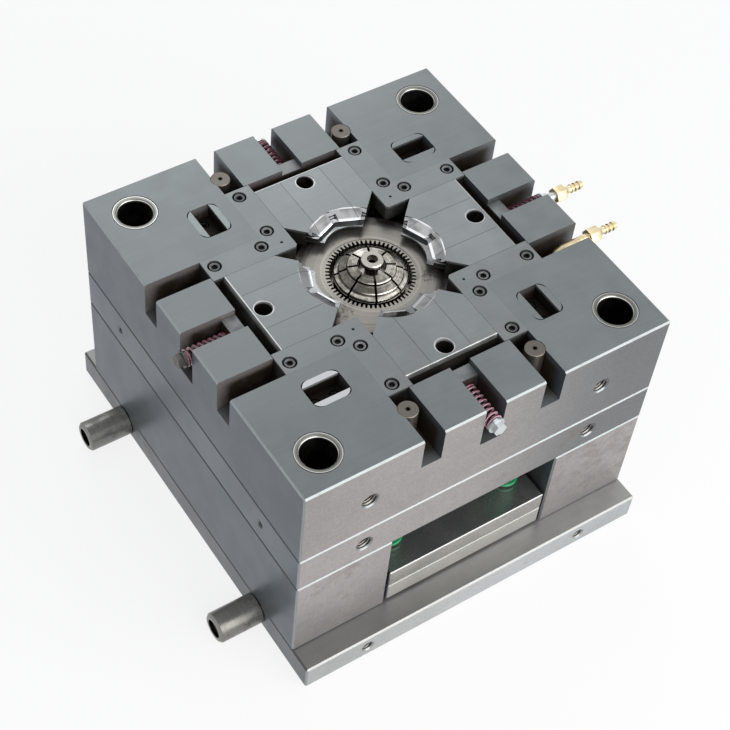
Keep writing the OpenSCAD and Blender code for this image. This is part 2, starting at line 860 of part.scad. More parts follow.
module centre_pin() {
    head_z = part_z + pin_head_up - pin_head_t;
    color("#a49d92") difference() {
        union() {
            rod(pin_head_d / 2, head_z, part_z + pin_head_up - 0.8);
            translate([0, 0, part_z + pin_head_up - 0.8])
                cylinder(d1 = pin_head_d, d2 = pin_head_d - 1.6, h = 0.8, $fn = round_fn);
            rod(pin_neck_d / 2, cone_top - eps, head_z + eps);
            translate([0, 0, cone_z])
                cylinder(r1 = cone_r(cone_z), r2 = cone_r(cone_top), h = cone_top - cone_z, $fn = round_fn);
            rod(pin_shank_d / 2, retainer_z, cone_z + eps);
            rod(pin_shank_d / 2 + pin_flange_w, retainer_z, retainer_z + pin_flange_t);
        }
        rod(pin_socket_d / 2, part_z + pin_head_up - 4, part_z + pin_head_up + eps);
        translate([0, 0, part_z + pin_head_up - 8]) cylinder(d = 0.7 * pin_socket_d, h = 6, $fn = 6);
    }
}

// Ejector set

module ejector_block(z, t) {
    translate([0, 0, z]) chamfer_block(2 * ejector_half, ejector_l, t, edge_chamfer / 2);
}

module ejector_plate() {
    color("#8a8c8c") difference() {
        ejector_block(ejector_z, ejector_t);
        at_corners(pillar_at[0], pillar_at[1]) rod(pillar_d / 2 + 1, ejector_z - eps, retainer_z + eps);
        at_corners(ejector_screw_at[0], ejector_screw_at[1]) {
            rod(small_screw_d / 2 + 0.3, ejector_z - eps, retainer_z + eps);
            rod(0.75 * small_screw_d + 1, ejector_z - eps, ejector_z + small_screw_d + 1);
        }
        translate([0, 0, ejector_z]) rotate([180, 0, 0]) tapped(lift_d, ejector_t - 4);
    }
}

module retainer_plate() {
    color("#5e6164") difference() {
        ejector_block(retainer_z, retainer_t);
        at_corners(pillar_at[0], pillar_at[1]) rod(pillar_d / 2 + 1, retainer_z - eps, retainer_top + eps);
        at_corners(ejector_screw_at[0], ejector_screw_at[1])
            rod(small_screw_d / 2 + fit, retainer_z - eps, retainer_z + retainer_t - 5);
        at_corners(return_x, return_y) pin_seat(return_d);
        pin_seat(pin_shank_d);
    }
}

// Hole and head recess for a pin held between the ejector plates
module pin_seat(d) {
    rod(d / 2 + 0.2, retainer_z - eps, retainer_top + eps);
    rod(d / 2 + pin_flange_w + 0.2, retainer_z - eps, retainer_z + pin_flange_t + fit);
}

module ejector_screws() {
    color("#303234") at_corners(ejector_screw_at[0], ejector_screw_at[1])
        translate([0, 0, ejector_z + 1]) rotate([180, 0, 0]) cap_screw(small_screw_d, ejector_t + 10);
}

module return_pins() {
    color("#7d766c") at_corners(return_x, return_y) difference() {
        union() {
            rod(return_d / 2, retainer_z, part_z - 0.5);
            translate([0, 0, part_z - 0.5])
                cylinder(d1 = return_d, d2 = return_d - 1, h = 0.5, $fn = round_fn);
            rod(return_d / 2 + pin_flange_w, retainer_z, retainer_z + pin_flange_t);
        }
        translate([0, 0, part_z - 4]) cylinder(d = 2.6, h = 5, $fn = 24);
    }
}

module return_springs() {
    mean_r = (return_spring_d - return_wire_w) / 2;
    color("#1f9d57") at_corners(return_x, return_y) translate([0, 0, retainer_top + fit])
        coil_spring(mean_r, flat_wire(return_wire_w, return_wire_t), return_wire_t,
            pocket_z - retainer_top - 2 * fit, return_coils);
}

module support_pillars() {
    color("#85847f") at_corners(pillar_at[0], pillar_at[1]) difference() {
        rod(pillar_d / 2, clamp_top, box_top);
        rod(small_screw_d / 2 + fit, clamp_top - eps, clamp_top + 26);
    }
}

module pillar_screws() {
    color("#303234") at_corners(pillar_at[0], pillar_at[1])
        translate([0, 0, 1]) rotate([180, 0, 0]) cap_screw(small_screw_d, clamp_t + 20);
}

module base_screws() {
    color("#303234") at_corners(base_screw_at[0], base_screw_at[1])
        translate([0, 0, 1]) rotate([180, 0, 0]) cap_screw(base_screw_d, support_top + base_screw_in - 1);
}

module button_places() {
    for (sy = [-1, 0, 1]) for (sx = [-1, 1])
        translate([sx * (ejector_half - button_side), sy * (ejector_l / 2 - button_end), 0]) children();
}

module rest_buttons() {
    color("#77797a") button_places() {
        rod(button_d / 2, clamp_top, ejector_z - fit);
        rod(button_d / 5, clamp_top - button_spigot, clamp_top + fit);
    }
}

// Side legs, which keep the hose fittings clear of the bench

module at_legs() {
    for (sy = [-1, 1])
        translate([-base_w / 2, sy * leg_y, leg_d / 2]) rotate([0, -90, 0]) children();
}

module side_legs() {
    color("#75726b") at_legs() difference() {
        union() {
            cylinder(d = leg_d, h = leg_l - 2, $fn = round_fn);
            translate([0, 0, leg_l - 2]) cylinder(d1 = leg_d, d2 = leg_d - 4, h = 2, $fn = round_fn);
        }
        translate([0, 0, -eps]) cylinder(d = leg_screw_d + 1, h = leg_l + 2 * eps, $fn = 48);
        translate([0, 0, leg_l - leg_screw_d - 3])
            cylinder(d = 1.5 * leg_screw_d + 2.4, h = leg_screw_d + 4, $fn = 48);
    }
}

module side_leg_screws() {
    color("#3a3a3a") at_legs() translate([0, 0, leg_l - 3]) cap_screw(leg_screw_d, leg_l + 18);
}

// Slides, drawn for the front slide in its closed position, parting face at z = 0

// Outline in the plane of radius and height, drawn out to both sides
module side_prism(half, outline) {
    rotate([90, 0, 90]) translate([0, 0, -half]) linear_extrude(2 * half)
        polygon([for (p = outline) [-p[0], p[1]]]);
}

module inside_flat(bearing) {
    rise = (rim_r - flat_apothem) / flat_depth;
    rotate([0, 0, bearing]) translate([flat_apothem, 0, -flat_depth])
        rotate([0, atan(rise), 0]) translate([-far, -far / 2, -far / 2]) cube([far, far, far]);
}

module nose_cut() {
    flat_turn = 22.5;
    intersection() {
        rod(rim_r, -flat_depth, eps);
        inside_flat(270 - flat_turn);
        inside_flat(270 + flat_turn);
    }
    translate([0, 0, -ledge_depth])
        cylinder(r = (flat_apothem - flat_land) / cos(flat_turn), h = ledge_depth + eps, $fn = 8);
    rod(lip_r, -lip_depth - eps, eps);
    rod(recess_r, -nose_bottom - eps, -lip_depth);
    rod(deep_r, -slide_h - eps, -nose_bottom);
    for (a = [-45, 0, 45])
        rotate([0, 0, a])
            box_from(-lug_w / 2, lug_w / 2, -flat_apothem - lug_l, -flat_apothem + 3,
                -flat_depth - 0.4, eps);
}

module angle_pin_hole() {
    translate([0, -pin_closed_r, 0]) rotate([-pin_angle, 0, 0])
        {
            translate([0, 0, -2 * slide_h]) cylinder(d = pin_hole_d, h = 3 * slide_h, $fn = round_fn);
            translate([0, 0, -slide_h / cos(pin_angle)])
                rod(pin_hole_d / 2 + pin_foot_rim, -pin_foot, pin_foot);
        }
    translate([0, -pin_closed_r, 0]) rod(pin_hole_d / 2 + pin_hole_rim, -pin_hole_rim / 2, eps);
}

module slide_solid() {
    heel_foot = top_back_r + (ear_drop - heel_chamfer) * tan(heel_angle);
    difference() {
        intersection() {
            union() {
                side_prism(slide_w / 2, [
                    [0, 0], [top_back_r - heel_chamfer, 0], [top_back_r, -heel_chamfer],
                    [heel_foot, -ear_drop], [base_back_r, -ear_drop],
                    [base_back_r, -slide_h], [0, -slide_h]
                ]);
                side_prism(ear_half, [
                    [0, -ear_drop], [base_back_r, -ear_drop], [base_back_r, -slide_h], [0, -slide_h]
                ]);
            }
            translate([0, -mitre_clear, -slide_h - eps]) linear_extrude(slide_h + 2 * eps)
                polygon([[0, 0], [far, -far], [-far, -far]]);
        }
        nose_cut();
        angle_pin_hole();
        translate([0, -rod_end_r + slide_open, -rod_drop]) rotate([90, 0, 0])
            cylinder(d = rod_d + 2 * fit, h = far, $fn = 48);
    }
}

module insert_room(clear) {
    box_from(-insert_w / 2 - clear, insert_w / 2 + clear, -insert_end - clear, 0,
        -nose_bottom - clear, eps);
}

module at_slide(turn) {
    rotate([0, 0, turn]) translate([0, -slide_open, part_z]) children();
}

module slide_carrier(turn) {
    color("#a0a5a8") at_slide(turn) difference() {
        slide_solid();
        insert_room(0);
    }
}

module slide_insert(turn) {
    color("#adb1b2") at_slide(turn) intersection() {
        slide_solid();
        insert_room(-fit);
    }
}

// Rods and springs, drawn for the front slide as it stands open

module at_rod(turn, r) {
    rotate([0, 0, turn]) translate([0, -r, part_z - rod_drop]) rotate([90, 0, 0]) children();
}

// Distance from the mould axis to the washer's inner face; slides at 90 and 270 run along X
function washer_r(turn) = (turn % 180 == 0 ? base_l : base_w) / 2 + washer_out;
function nipple_r(turn) = washer_r(turn) + washer_t + bolt_head + pipe_reach;

module slide_rod(turn, tint) {
    washer = washer_r(turn) - rod_end_r;
    color(tint) at_rod(turn, rod_end_r) {
        cylinder(d = rod_d, h = washer + washer_t, $fn = 48);
        translate([0, 0, washer]) cylinder(d = washer_d, h = washer_t, $fn = 48);
        translate([0, 0, washer + washer_t]) cylinder(d = bolt_af / cos(30), h = bolt_head, $fn = 6);
    }
}

module slide_spring(turn) {
    mean_r = (slide_spring_d - slide_wire) / 2;
    color("#6d1330") at_rod(turn, bridge_r + fit)
        coil_spring(mean_r, round_wire(slide_wire), slide_wire,
            washer_r(turn) - bridge_r - 2 * fit, slide_coils);
}

module slide_front() {
    slide_carrier(0);
}

module slide_front_insert() {
    slide_insert(0);
}

module slide_front_rod() {
    slide_rod(0, "#c4ccd2");
}

module slide_front_spring() {
    slide_spring(0);
}

module slide_right() {
    slide_carrier(90);
}

module slide_right_insert() {
    slide_insert(90);
}

// The right slide's rod is a tube, and carries a hose nipple beyond its nut
module slide_right_rod() {
    tube_end = nipple_r(90) - rod_end_r;
    color("#c4ccd2") difference() {
        union() {
            slide_rod(90, "#c4ccd2");
            at_rod(90, rod_end_r) cylinder(d = rod_d, h = tube_end, $fn = 48);
        }
        at_rod(90, washer_r(90)) cylinder(d = rod_d / 2, h = far, $fn = 48);
    }
}

module slide_right_spring() {
    slide_spring(90);
}

// Hose nipple along +Z: hexagon, then a barbed tail, bored through
module hose_nipple(socket) {
    ring = (nipple_tail - 3) / barb_n;
    difference() {
        union() {
            cylinder(d = nipple_af / cos(30), h = nipple_hex * 0.7, $fn = 6);
            translate([0, 0, nipple_hex * 0.7])
                cylinder(d1 = nipple_af - 1, d2 = barb_d, h = nipple_hex * 0.3, $fn = 48);
            translate([0, 0, nipple_hex]) cylinder(d = barb_d - 1.6, h = nipple_tail, $fn = 48);
            for (i = [0:barb_n - 1])
                translate([0, 0, nipple_hex + 3 + ring * i])
                    cylinder(d1 = barb_d, d2 = barb_d - 1.8, h = ring, $fn = 48);
        }
        translate([0, 0, -eps]) cylinder(d = barb_d / 2, h = far, $fn = 48);
        translate([0, 0, -eps]) cylinder(d = socket, h = nipple_hex / 2 + eps, $fn = 48);
    }
}

module slide_right_nipple() {
    color("#cdb36a") at_rod(90, nipple_r(90) - nipple_hex / 2 + fit) hose_nipple(rod_d + 2 * fit);
}

module slide_back() {
    slide_carrier(180);
}

module slide_back_insert() {
    slide_insert(180);
}

module slide_back_rod() {
    slide_rod(180, "#c4ccd2");
}

module slide_back_spring() {
    slide_spring(180);
}

module slide_left() {
    slide_carrier(270);
}

module slide_left_insert() {
    slide_insert(270);
}

module slide_left_rod() {
    slide_rod(270, "#3c3a38");
}

module slide_left_spring() {
    slide_spring(270);
}

// Cooling feed: a bent pipe that rises from the side slot and leads out to a nipple

module cooling_pipe() {
    bend_x = base_w / 2 - pipe_inset;
    axis_z = part_z - pipe_drop;
    bore = pipe_d / 2;
    color("#c9b27a") translate([0, -pipe_off, 0]) difference() {
        union() {
            translate([bend_x, 0, 0]) rod(pipe_d / 2, floor_z - 10, axis_z - pipe_bend);
            translate([bend_x + pipe_bend, 0, axis_z - pipe_bend]) rotate([90, 0, 0])
                rotate([0, 0, 90]) rotate_extrude(angle = 90, $fn = round_fn)
                    translate([pipe_bend, 0]) circle(d = pipe_d, $fn = 48);
            translate([bend_x + pipe_bend, 0, axis_z]) rotate([0, 90, 0])
                cylinder(d = pipe_d, h = pipe_inset - pipe_bend + pipe_reach, $fn = 48);
        }
        translate([base_w / 2, 0, axis_z]) rotate([0, 90, 0]) cylinder(d = bore, h = far, $fn = 48);
    }
}

module cooling_nipple() {
    color("#cdb36a")
        translate([base_w / 2 + pipe_reach - nipple_hex / 2 + fit, -pipe_off, part_z - pipe_drop])
            rotate([0, 90, 0]) hose_nipple(pipe_d + 2 * fit);
}

clamp_plate();
spacer_left();
spacer_right();
support_plate();
cavity_plate();
guide_bushes();
parting_locks();
parting_lock_screws();
gib_front_left();
gib_front_right();
gib_back_right();
gib_back_left();
gib_screws();
wear_plates();
core_block();
ring_insert();
core_screws();
support_pillars();
pillar_screws();
base_screws();
rest_buttons();
side_legs();
side_leg_screws();
cooling_pipe();
cooling_nipple();
ejector_plate();
retainer_plate();
ejector_screws();
return_pins();
return_springs();
centre_pin();
slide_front();
slide_front_insert();
slide_front_rod();
slide_front_spring();
slide_right();
slide_right_insert();
slide_right_rod();
slide_right_spring();
slide_right_nipple();
slide_back();
slide_back_insert();
slide_back_rod();
slide_back_spring();
slide_left();
slide_left_insert();
slide_left_rod();
slide_left_spring();
core_segment_1();
core_segment_2();
core_segment_3();
core_segment_4();
core_segment_5();
core_segment_6();
core_segment_7();
core_segment_8();
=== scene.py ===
import math

import bmesh
import bpy
from bpy.props import FloatProperty, FloatVectorProperty, IntProperty, PointerProperty
from mathutils import Matrix, Vector


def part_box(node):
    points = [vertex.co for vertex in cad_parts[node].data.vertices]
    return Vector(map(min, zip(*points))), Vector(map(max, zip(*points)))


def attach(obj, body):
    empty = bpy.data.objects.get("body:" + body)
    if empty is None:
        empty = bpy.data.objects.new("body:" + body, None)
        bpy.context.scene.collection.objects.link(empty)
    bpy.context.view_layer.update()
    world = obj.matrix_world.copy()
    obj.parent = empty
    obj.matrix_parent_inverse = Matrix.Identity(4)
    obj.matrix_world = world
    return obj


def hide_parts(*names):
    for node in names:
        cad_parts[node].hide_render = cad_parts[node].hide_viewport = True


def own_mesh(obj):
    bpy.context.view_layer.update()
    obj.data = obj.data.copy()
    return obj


bl_info = {
    "name": "Injection Mould, Moving Half",
    "version": (1, 0, 0),
    "blender": (4, 5, 0),
    "location": "View3D > Sidebar > Mould",
    "description": "Springs, threads, hose nipples and metal finishes for the mould's moving half",
    "category": "Object",
}

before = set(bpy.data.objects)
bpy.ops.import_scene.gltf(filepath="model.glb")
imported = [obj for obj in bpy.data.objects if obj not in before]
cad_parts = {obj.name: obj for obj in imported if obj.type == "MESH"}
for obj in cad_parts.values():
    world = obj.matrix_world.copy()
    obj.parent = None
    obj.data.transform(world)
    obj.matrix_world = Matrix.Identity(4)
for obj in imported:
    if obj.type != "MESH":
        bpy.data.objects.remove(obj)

# Places on the mould, in metres. Its sides repeat by quarter turns, and the slides stand open.
OUTWARD = {
    "front": Vector((0, -1, 0)),
    "right": Vector((1, 0, 0)),
    "back": Vector((0, 1, 0)),
    "left": Vector((-1, 0, 0)),
}
BASE_X, BASE_Y, PARTING_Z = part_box("cavity_plate")[1]
CLAMP_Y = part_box("clamp_plate")[1].y
CORNER_REACH = 0.345
SLIDE_TRAVEL = 0.0229
HEEL_EDGE = -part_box("slide_front")[0].y - 0.0102
NOSE_REACH = 0.0432
INSERT_HALF = 0.0195
PIN_HOLE_AT, PIN_HOLE_R = 0.104, 0.0091
BRIDGE_FROM, BRIDGE_TO, BRIDGE_HALF = 0.1250, 0.1374, 0.0096

# The tapped holes in the front and back faces: distance aside, heights and bores.
TAP_AT = 0.113
CAVITY_TAP_Z = PARTING_Z - 0.045
SUPPORT_TAP_Z = sum(corner.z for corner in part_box("support_plate")) / 2
CLAMP_TAP_Z = sum(corner.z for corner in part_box("clamp_plate")) / 2
LIFTING_BORE_R = 0.007
CLAMP_BORE_R = 0.005

# The rounding of a spring wire's corners, and the angle in degrees from which an edge stays sharp.
WIRE_CORNER = 0.0006
SHARP_FROM = 35.0

# Painted shade: black for the middle of a small hole, and dark maroon for a rod inside its spring, with the
# spring's colour as a painted reflection.
PAINTED_HOLE_SHADE = (0.012, 0.010, 0.008)
MAROON_SHADE = (0.030, 0.008, 0.014)


# Sizes and finishes


class MouldSizes(bpy.types.PropertyGroup):
    slide_wire: FloatProperty(
        name="Slide spring wire",
        description="Radial width of the flattened wire in the four slide springs",
        default=0.0030, min=0.001, max=0.005, unit="LENGTH",
    )
    slide_wire_height: FloatProperty(
        name="Slide spring wire height",
        description="Height of that wire along the spring",
        default=0.0017, min=0.001, max=0.004, unit="LENGTH",
    )
    slide_coils: IntProperty(
        name="Slide spring coils",
        description="Turns in each slide spring, the two closed ends among them",
        default=9, min=4, max=16,
    )
    return_spring: FloatProperty(
        name="Return spring diameter",
        description="Outside diameter of the four return springs",
        default=0.025, min=0.020, max=0.030, unit="LENGTH",
    )
    return_wire: FloatProperty(
        name="Return spring wire",
        description="Width and height of the return springs' square wire",
        default=0.0032, min=0.002, max=0.005, unit="LENGTH",
    )
    return_coils: IntProperty(
        name="Return spring coils",
        description="Turns in each return spring, the two closed ends among them",
        default=8, min=4, max=16,
    )
    lifting_pitch: FloatProperty(
        name="Lifting thread pitch",
        description="Pitch of the threads in the large tapped holes",
        default=0.0020, min=0.001, max=0.004, unit="LENGTH",
    )
    barbs: IntProperty(
        name="Nipple barbs",
        description="Rings on the tail of each hose nipple",
        default=3, min=1, max=5,
    )


class MouldFinishes(bpy.types.PropertyGroup):
    plate: FloatVectorProperty(
        name="Plate steel",
        description="Ground steel of the mould base's plates",
        default=(0.182, 0.198, 0.203), subtype="COLOR", min=0, max=1,
    )
    slide: FloatVectorProperty(
        name="Slide steel",
        description="Fine ground steel of the slides and gibs",
        default=(0.220, 0.236, 0.240), subtype="COLOR", min=0, max=1,
    )
    core: FloatVectorProperty(
        name="Core steel",
        description="Polished steel of the core and the toothed ring",
        default=(0.310, 0.295, 0.268), subtype="COLOR", min=0, max=1,
    )
    pin: FloatVectorProperty(
        name="Pin steel",
        description="Turned steel of the return pins",
        default=(0.125, 0.112, 0.098), subtype="COLOR", min=0, max=1,
    )
    stain: FloatVectorProperty(
        name="Stain",
        description="Thin rust and oil left on the plates",
        default=(0.150, 0.118, 0.092), subtype="COLOR", min=0, max=1,
    )
    maroon: FloatVectorProperty(
        name="Slide spring lacquer",
        description="Maroon lacquer on the slide springs",
        default=(0.130, 0.010, 0.035), subtype="COLOR", min=0, max=1,
    )
    green: FloatVectorProperty(
        name="Return spring lacquer",
        description="Green lacquer on the return springs",
        default=(0.010, 0.330, 0.130), subtype="COLOR", min=0, max=1,
    )
    brass: FloatVectorProperty(
        name="Brass",
        description="Turned brass of the hose nipples and pipe",
        default=(0.800, 0.690, 0.440), subtype="COLOR", min=0, max=1,
    )
    bronze: FloatVectorProperty(
        name="Bronze",
        description="Bronze of the wear plates under the slides",
        default=(0.430, 0.300, 0.120), subtype="COLOR", min=0, max=1,
    )


# Shader building


class Value:
    """An output in a shader tree. Arithmetic and comparisons on it add math nodes."""

    def __init__(self, tree, socket):
        self.tree = tree
        self.socket = socket

    def __add__(self, other):
        return calc("ADD", self, other)

    def __sub__(self, other):
        return calc("SUBTRACT", self, other)

    def __rsub__(self, other):
        return calc("SUBTRACT", other, self)

    def __mul__(self, other):
        return calc("MULTIPLY", self, other)

    def __truediv__(self, other):
        return calc("DIVIDE", self, other)

    def __lt__(self, other):
        return calc("LESS_THAN", self, other)

    def __gt__(self, other):
        return calc("GREATER_THAN", self, other)

    def __abs__(self):
        return calc("ABSOLUTE", self)


def tree_of(*values):
    return next(value.tree for value in values if isinstance(value, Value))


def add(tree, kind, **settings):
    node = tree.nodes.new(kind)
    for key, value in settings.items():
        setattr(node, key, value)
    return node


def feed(node, values):
    """Links or sets a node's inputs, each found by its name or number. A None leaves one as it is."""
    for key, value in values.items():
        socket = node.inputs[key]
        if isinstance(value, Value):
            value.tree.links.new(value.socket, socket)
        elif hasattr(value, "__len__"):
            socket.default_value = tuple(value) + (1.0,) * (len(socket.default_value) - len(value))
        elif value is not None:
            socket.default_value = value


def value_of(tree, kind, values, output=0, **settings):
    """Adds a node, feeds it, and returns one of its outputs."""
    node = add(tree, kind, **settings)
    feed(node, values)
    return Value(tree, node.outputs[output])


def calc(operation, a, b=None, clamp=False):
    return value_of(tree_of(a, b), "ShaderNodeMath", {0: a, 1: b}, operation=operation, use_clamp=clamp)


def vector_calc(operation, a, b=None):
    output = "Value" if operation == "LENGTH" else "Vector"
    return value_of(a.tree, "ShaderNodeVectorMath", {0: a, 1: b}, output, operation=operation)


def larger(a, b):
    return calc("MAXIMUM", a, b)


def span(a, b):
    """The length of the line with the sides a and b."""
    return calc("SQRT", a * a + b * b)


def split(vector):
    node = add(vector.tree, "ShaderNodeSeparateXYZ")
    feed(node, {0: vector})
    return [Value(vector.tree, socket) for socket in node.outputs]


def combine(*parts):
    return value_of(tree_of(*parts), "ShaderNodeCombineXYZ", dict(enumerate(parts)))


def ramp(value, low, high, out_low=0.0, out_high=1.0):
    """A soft step from out_low to out_high while the value goes from low to high."""
    values = dict(enumerate((value, low, high, out_low, out_high)))
    return value_of(value.tree, "ShaderNodeMapRange", values, clamp=True, interpolation_type="SMOOTHSTEP")


def mix_number(share, a, b):
    return value_of(share.tree, "ShaderNodeMix", {0: share, 2: a, 3: b}, data_type="FLOAT")


def blend(share, a, b, kind="MIX"):
    """The colour a, with its share of the colour b."""
    values = {0: share, 6: a, 7: b}
    return value_of(tree_of(share, a, b), "ShaderNodeMix", values, 2, data_type="RGBA", blend_type=kind)


def tinted(colour, by):
    """A colour times another one, or times a number that varies."""
    return blend(1.0, colour, by, "MULTIPLY")


def shade(colour, factor):
    return tuple(min(1.0, part * factor) for part in colour)


def vary(tone, colour, low, high):
    """A colour between two shades of it, as the tone goes from 0 to 1."""
    return blend(tone, shade(colour, low), shade(colour, high))


def noise(vector, scale, detail=3.0, rough=0.6):
    values = {"Vector": vector, "Scale": scale, "Detail": detail, "Roughness": rough}
    return value_of(vector.tree, "ShaderNodeTexNoise", values, noise_dimensions="3D")


def tool_marks(along):
    """Fine noise that varies along one value only."""
    return noise(combine(along), 1.0, 2.0)


def place(tree):
    return value_of(tree, "ShaderNodeTexCoord", {}, "Object")


def folded(tree):
    """The place as |x|, |y| and |z|, which lays the mould's quarters over each other."""
    return split(vector_calc("ABSOLUTE", place(tree)))


def slide_place(tree):
    """The place as a slide has it: distance out along its travel, distance aside, and height."""
    x, y, z = folded(tree)
    return larger(x, y), calc("MINIMUM", x, y), z


def facing(tree):
    """How much a surface faces along X, Y and Z, each from 0 to 1."""
    return split(vector_calc("ABSOLUTE", value_of(tree, "ShaderNodeNewGeometry", {}, "Normal")))


def front_left(tree):
    """1 in the mould's front left quarter, and 0 elsewhere."""
    x, y, _ = split(place(tree))
    return (x < 0.0) * (y < 0.0)


# Shared effects: each function fills one node group, and returns what its outputs are fed with


def ground_marks(tree, along, across):
    """Fine grinding marks that lie along each flat face."""
    side_x = ramp(facing(tree)[0], 0.6, 0.75)
    stretch = combine(mix_number(side_x, along, across), mix_number(side_x, across, along), across)
    marks = noise(vector_calc("MULTIPLY", place(tree), stretch), 1.0, 2.0)
    return ramp(marks, 0.3, 0.7), marks


def blotches(tree, scale, cover):
    """Soft handling blotches, and the ragged patches where a stain took hold."""
    at = place(tree)
    broad = noise(at, scale, 3.0, 0.5)
    fine = noise(at, scale * 11.0, 4.0, 0.7)
    ragged = broad + (fine - 0.5) * 0.55
    edge = 0.82 - cover * 0.5
    return ramp(broad, 0.32, 0.68), ramp(ragged - edge, 0.0, 0.14)


def broken_edge(tree, corner_reach):
    """Painted highlights on chamfers that catch the light, and the dark seam of the low ones that face along X.
    """
    nx, ny, nz = facing(tree)
    x, y, z = folded(tree)
    level = calc("SQRT", larger(1.0 - nz * nz, 0.0))
    sloped = ramp(nz * level, 0.38, 0.46)
    upright = ramp(nx * ny, 0.38, 0.46) * (x + y > corner_reach)
    seam = sloped * ramp(nx, 0.45, 0.60) * (z < PARTING_Z - 0.004)
    wear_and_glint = ramp(noise(place(tree), 160.0), 0.2, 0.55, 0.6, 1.0)
    return larger(sloped - seam, upright * 0.7) * wear_and_glint, seam


def depth_shade(tree, top, depth):
    """Painted shade in the slots and bores: below a given height, inside the base's outer faces."""
    at = place(tree)
    x, y, z = split(at)
    deep = ramp((top - z) / depth, 0.05, 1.0)
    within = ramp(abs(x), BASE_X - 0.0004, BASE_X - 0.014) * ramp(abs(y), BASE_Y - 0.0004, BASE_Y - 0.014)
    return [deep * within * ramp(noise(at, 55.0), 0.3, 0.6, 0.80, 1.0)]


def tapped_shade(tree, height, face, radius):
    """The dark inside of the tapped holes in the front and back faces, at a given height."""
    x, y, z = folded(tree)
    near = span(x - TAP_AT, z - height) < radius
    return [near * ramp(face - y, 0.001, 0.008)]


def slide_nose(tree, reach):
    """The polished nose of a slide that stands open: painted highlight lines on its edges, and painted light
    and shade by how its faces tilt, uneven, and with less contrast on the near slides.
    """
    at = place(tree)
    out, aside, height = slide_place(tree)
    near = span(out - SLIDE_TRAVEL, aside) < reach
    drop = PARTING_Z - height
    sunk = (drop > 0.00015) * ramp(drop, 0.0102, 0.0092)
    rim = ramp(drop, 0.0009, 0.0004)
    foot = ramp(abs(drop - 0.0048), 0.0005, 0.0002)
    nz = facing(tree)[2]
    clouds = ramp(noise(at, 70.0, 2.0, 0.5), 0.36, 0.60, 0.45, 1.0)
    lit = clouds * ramp(nz, 0.30, 0.60, 0.05, 1.0) * ramp(nz, 0.93, 0.985, 1.0, 0.55)
    x, y, _ = split(at)
    hither = x + y < 0.0
    near_dimming = ramp(hither, 0.0, 1.0, 1.0, 0.30)
    return near * sunk, larger(rim, foot) * near_dimming, lit * near_dimming + hither * 0.22


def turned_rings(tree, axis_at, rings):
    """Tool marks left by a lathe: rings round an upright axis, the same in all four quarters."""
    at = place(tree)
    from_axis = vector_calc("SUBTRACT", vector_calc("ABSOLUTE", at), axis_at)
    radius = vector_calc("LENGTH", vector_calc("MULTIPLY", from_axis, (1.0, 1.0, 0.0)))
    marks = tool_marks((radius + split(at)[2] * 0.7) * rings)
    return ramp(marks, 0.3, 0.7), marks, radius


GROUPS = {
    "Ground Marks": (ground_marks, {"Along": 14.0, "Across": 900.0}, ("Tone", "Height")),
    "Blotches": (blotches, {"Scale": 9.0, "Cover": 0.5}, ("Tone", "Patch")),
    "Broken Edge": (broken_edge, {"Corner Reach": CORNER_REACH}, ("Mask", "Seam")),
    "Depth Shade": (depth_shade, {"Top": PARTING_Z, "Depth": 0.010}, ("Mask",)),
    "Tapped Shade": (tapped_shade, {"Height": CLAMP_TAP_Z, "Face": CLAMP_Y, "Radius": CLAMP_BORE_R}, ("Mask",)),
    "Slide Nose": (slide_nose, {"Reach": NOSE_REACH}, ("Mask", "Line", "Tone")),
    "Turned Rings": (turned_rings, {"Axis At": (0.0, 0.0, 0.0), "Rings": 1400.0}, ("Tone", "Height", "Radius")),
}


def shared(name):
    """The node group with that name, built when it is first used."""
    group = bpy.data.node_groups.get(name)
    if group is None:
        fill, inputs, outputs = GROUPS[name]
        group = bpy.data.node_groups.new(name, "ShaderNodeTree")
        for label, value in inputs.items():
            kind = "NodeSocketFloat" if isinstance(value, float) else "NodeSocketVector"
            group.interface.new_socket(label, in_out="INPUT", socket_type=kind).default_value = value
        for label in outputs:
            group.interface.new_socket(label, in_out="OUTPUT", socket_type="NodeSocketFloat")
        given, out = add(group, "NodeGroupInput"), add(group, "NodeGroupOutput")
        results = fill(group, *[Value(group, given.outputs[label]) for label in inputs])
        feed(out, dict(zip(outputs, results)))
    return group


def use(tree, name, **values):
    """Places a shared group in a tree, and returns its outputs by name."""
    node = add(tree, "ShaderNodeGroup", node_tree=shared(name))
    feed(node, {label.replace("_", " "): value for label, value in values.items()})
    return {socket.name: Value(tree, socket) for socket in node.outputs}


# Finishes


def new_finish(name):
    material = bpy.data.materials.new(name)
    material.use_nodes = True
    tree = material.node_tree
    tree.nodes.clear()
    shader = add(tree, "ShaderNodeBsdfPrincipled")
    tree.links.new(shader.outputs[0], add(tree, "ShaderNodeOutputMaterial").inputs[0])
    return material, tree, shader


def dress(shader, colour, metal, rough, marks, depth, strength=0.6):
    """Feeds a finish's colour, metal and roughness to its shader, and raises its marks."""
    values = {"Strength": strength, "Distance": depth, "Height": marks}
    normal = value_of(marks.tree, "ShaderNodeBump", values)
    feed(shader, {"Base Color": colour, "Metallic": metal, "Roughness": rough, "Normal": normal})


def light_faces(base, gain, tint, fade):
    """Painted light and shade: front and back faces brighter and tinted, speckled and fading to the right, and
    side faces darker and cooler.
    """
    tree = base.tree
    nx, ny, _ = facing(tree)
    specks = ramp(noise(place(tree), 620.0, 3.0, 0.70), 0.28, 0.72, 0.88, 1.10)
    toned = tinted(tinted(base, [gain * part for part in tint]), specks)
    faded = ramp(split(place(tree))[0], -0.06, 0.14, 0.0, fade)
    toned = blend(faded, toned, tinted(toned, (0.385, 0.43, 0.455)))
    base = blend(ramp(ny, 0.6, 0.8), base, toned)
    return blend(ramp(nx, 0.6, 0.8), base, tinted(base, (0.67, 0.72, 0.81)))


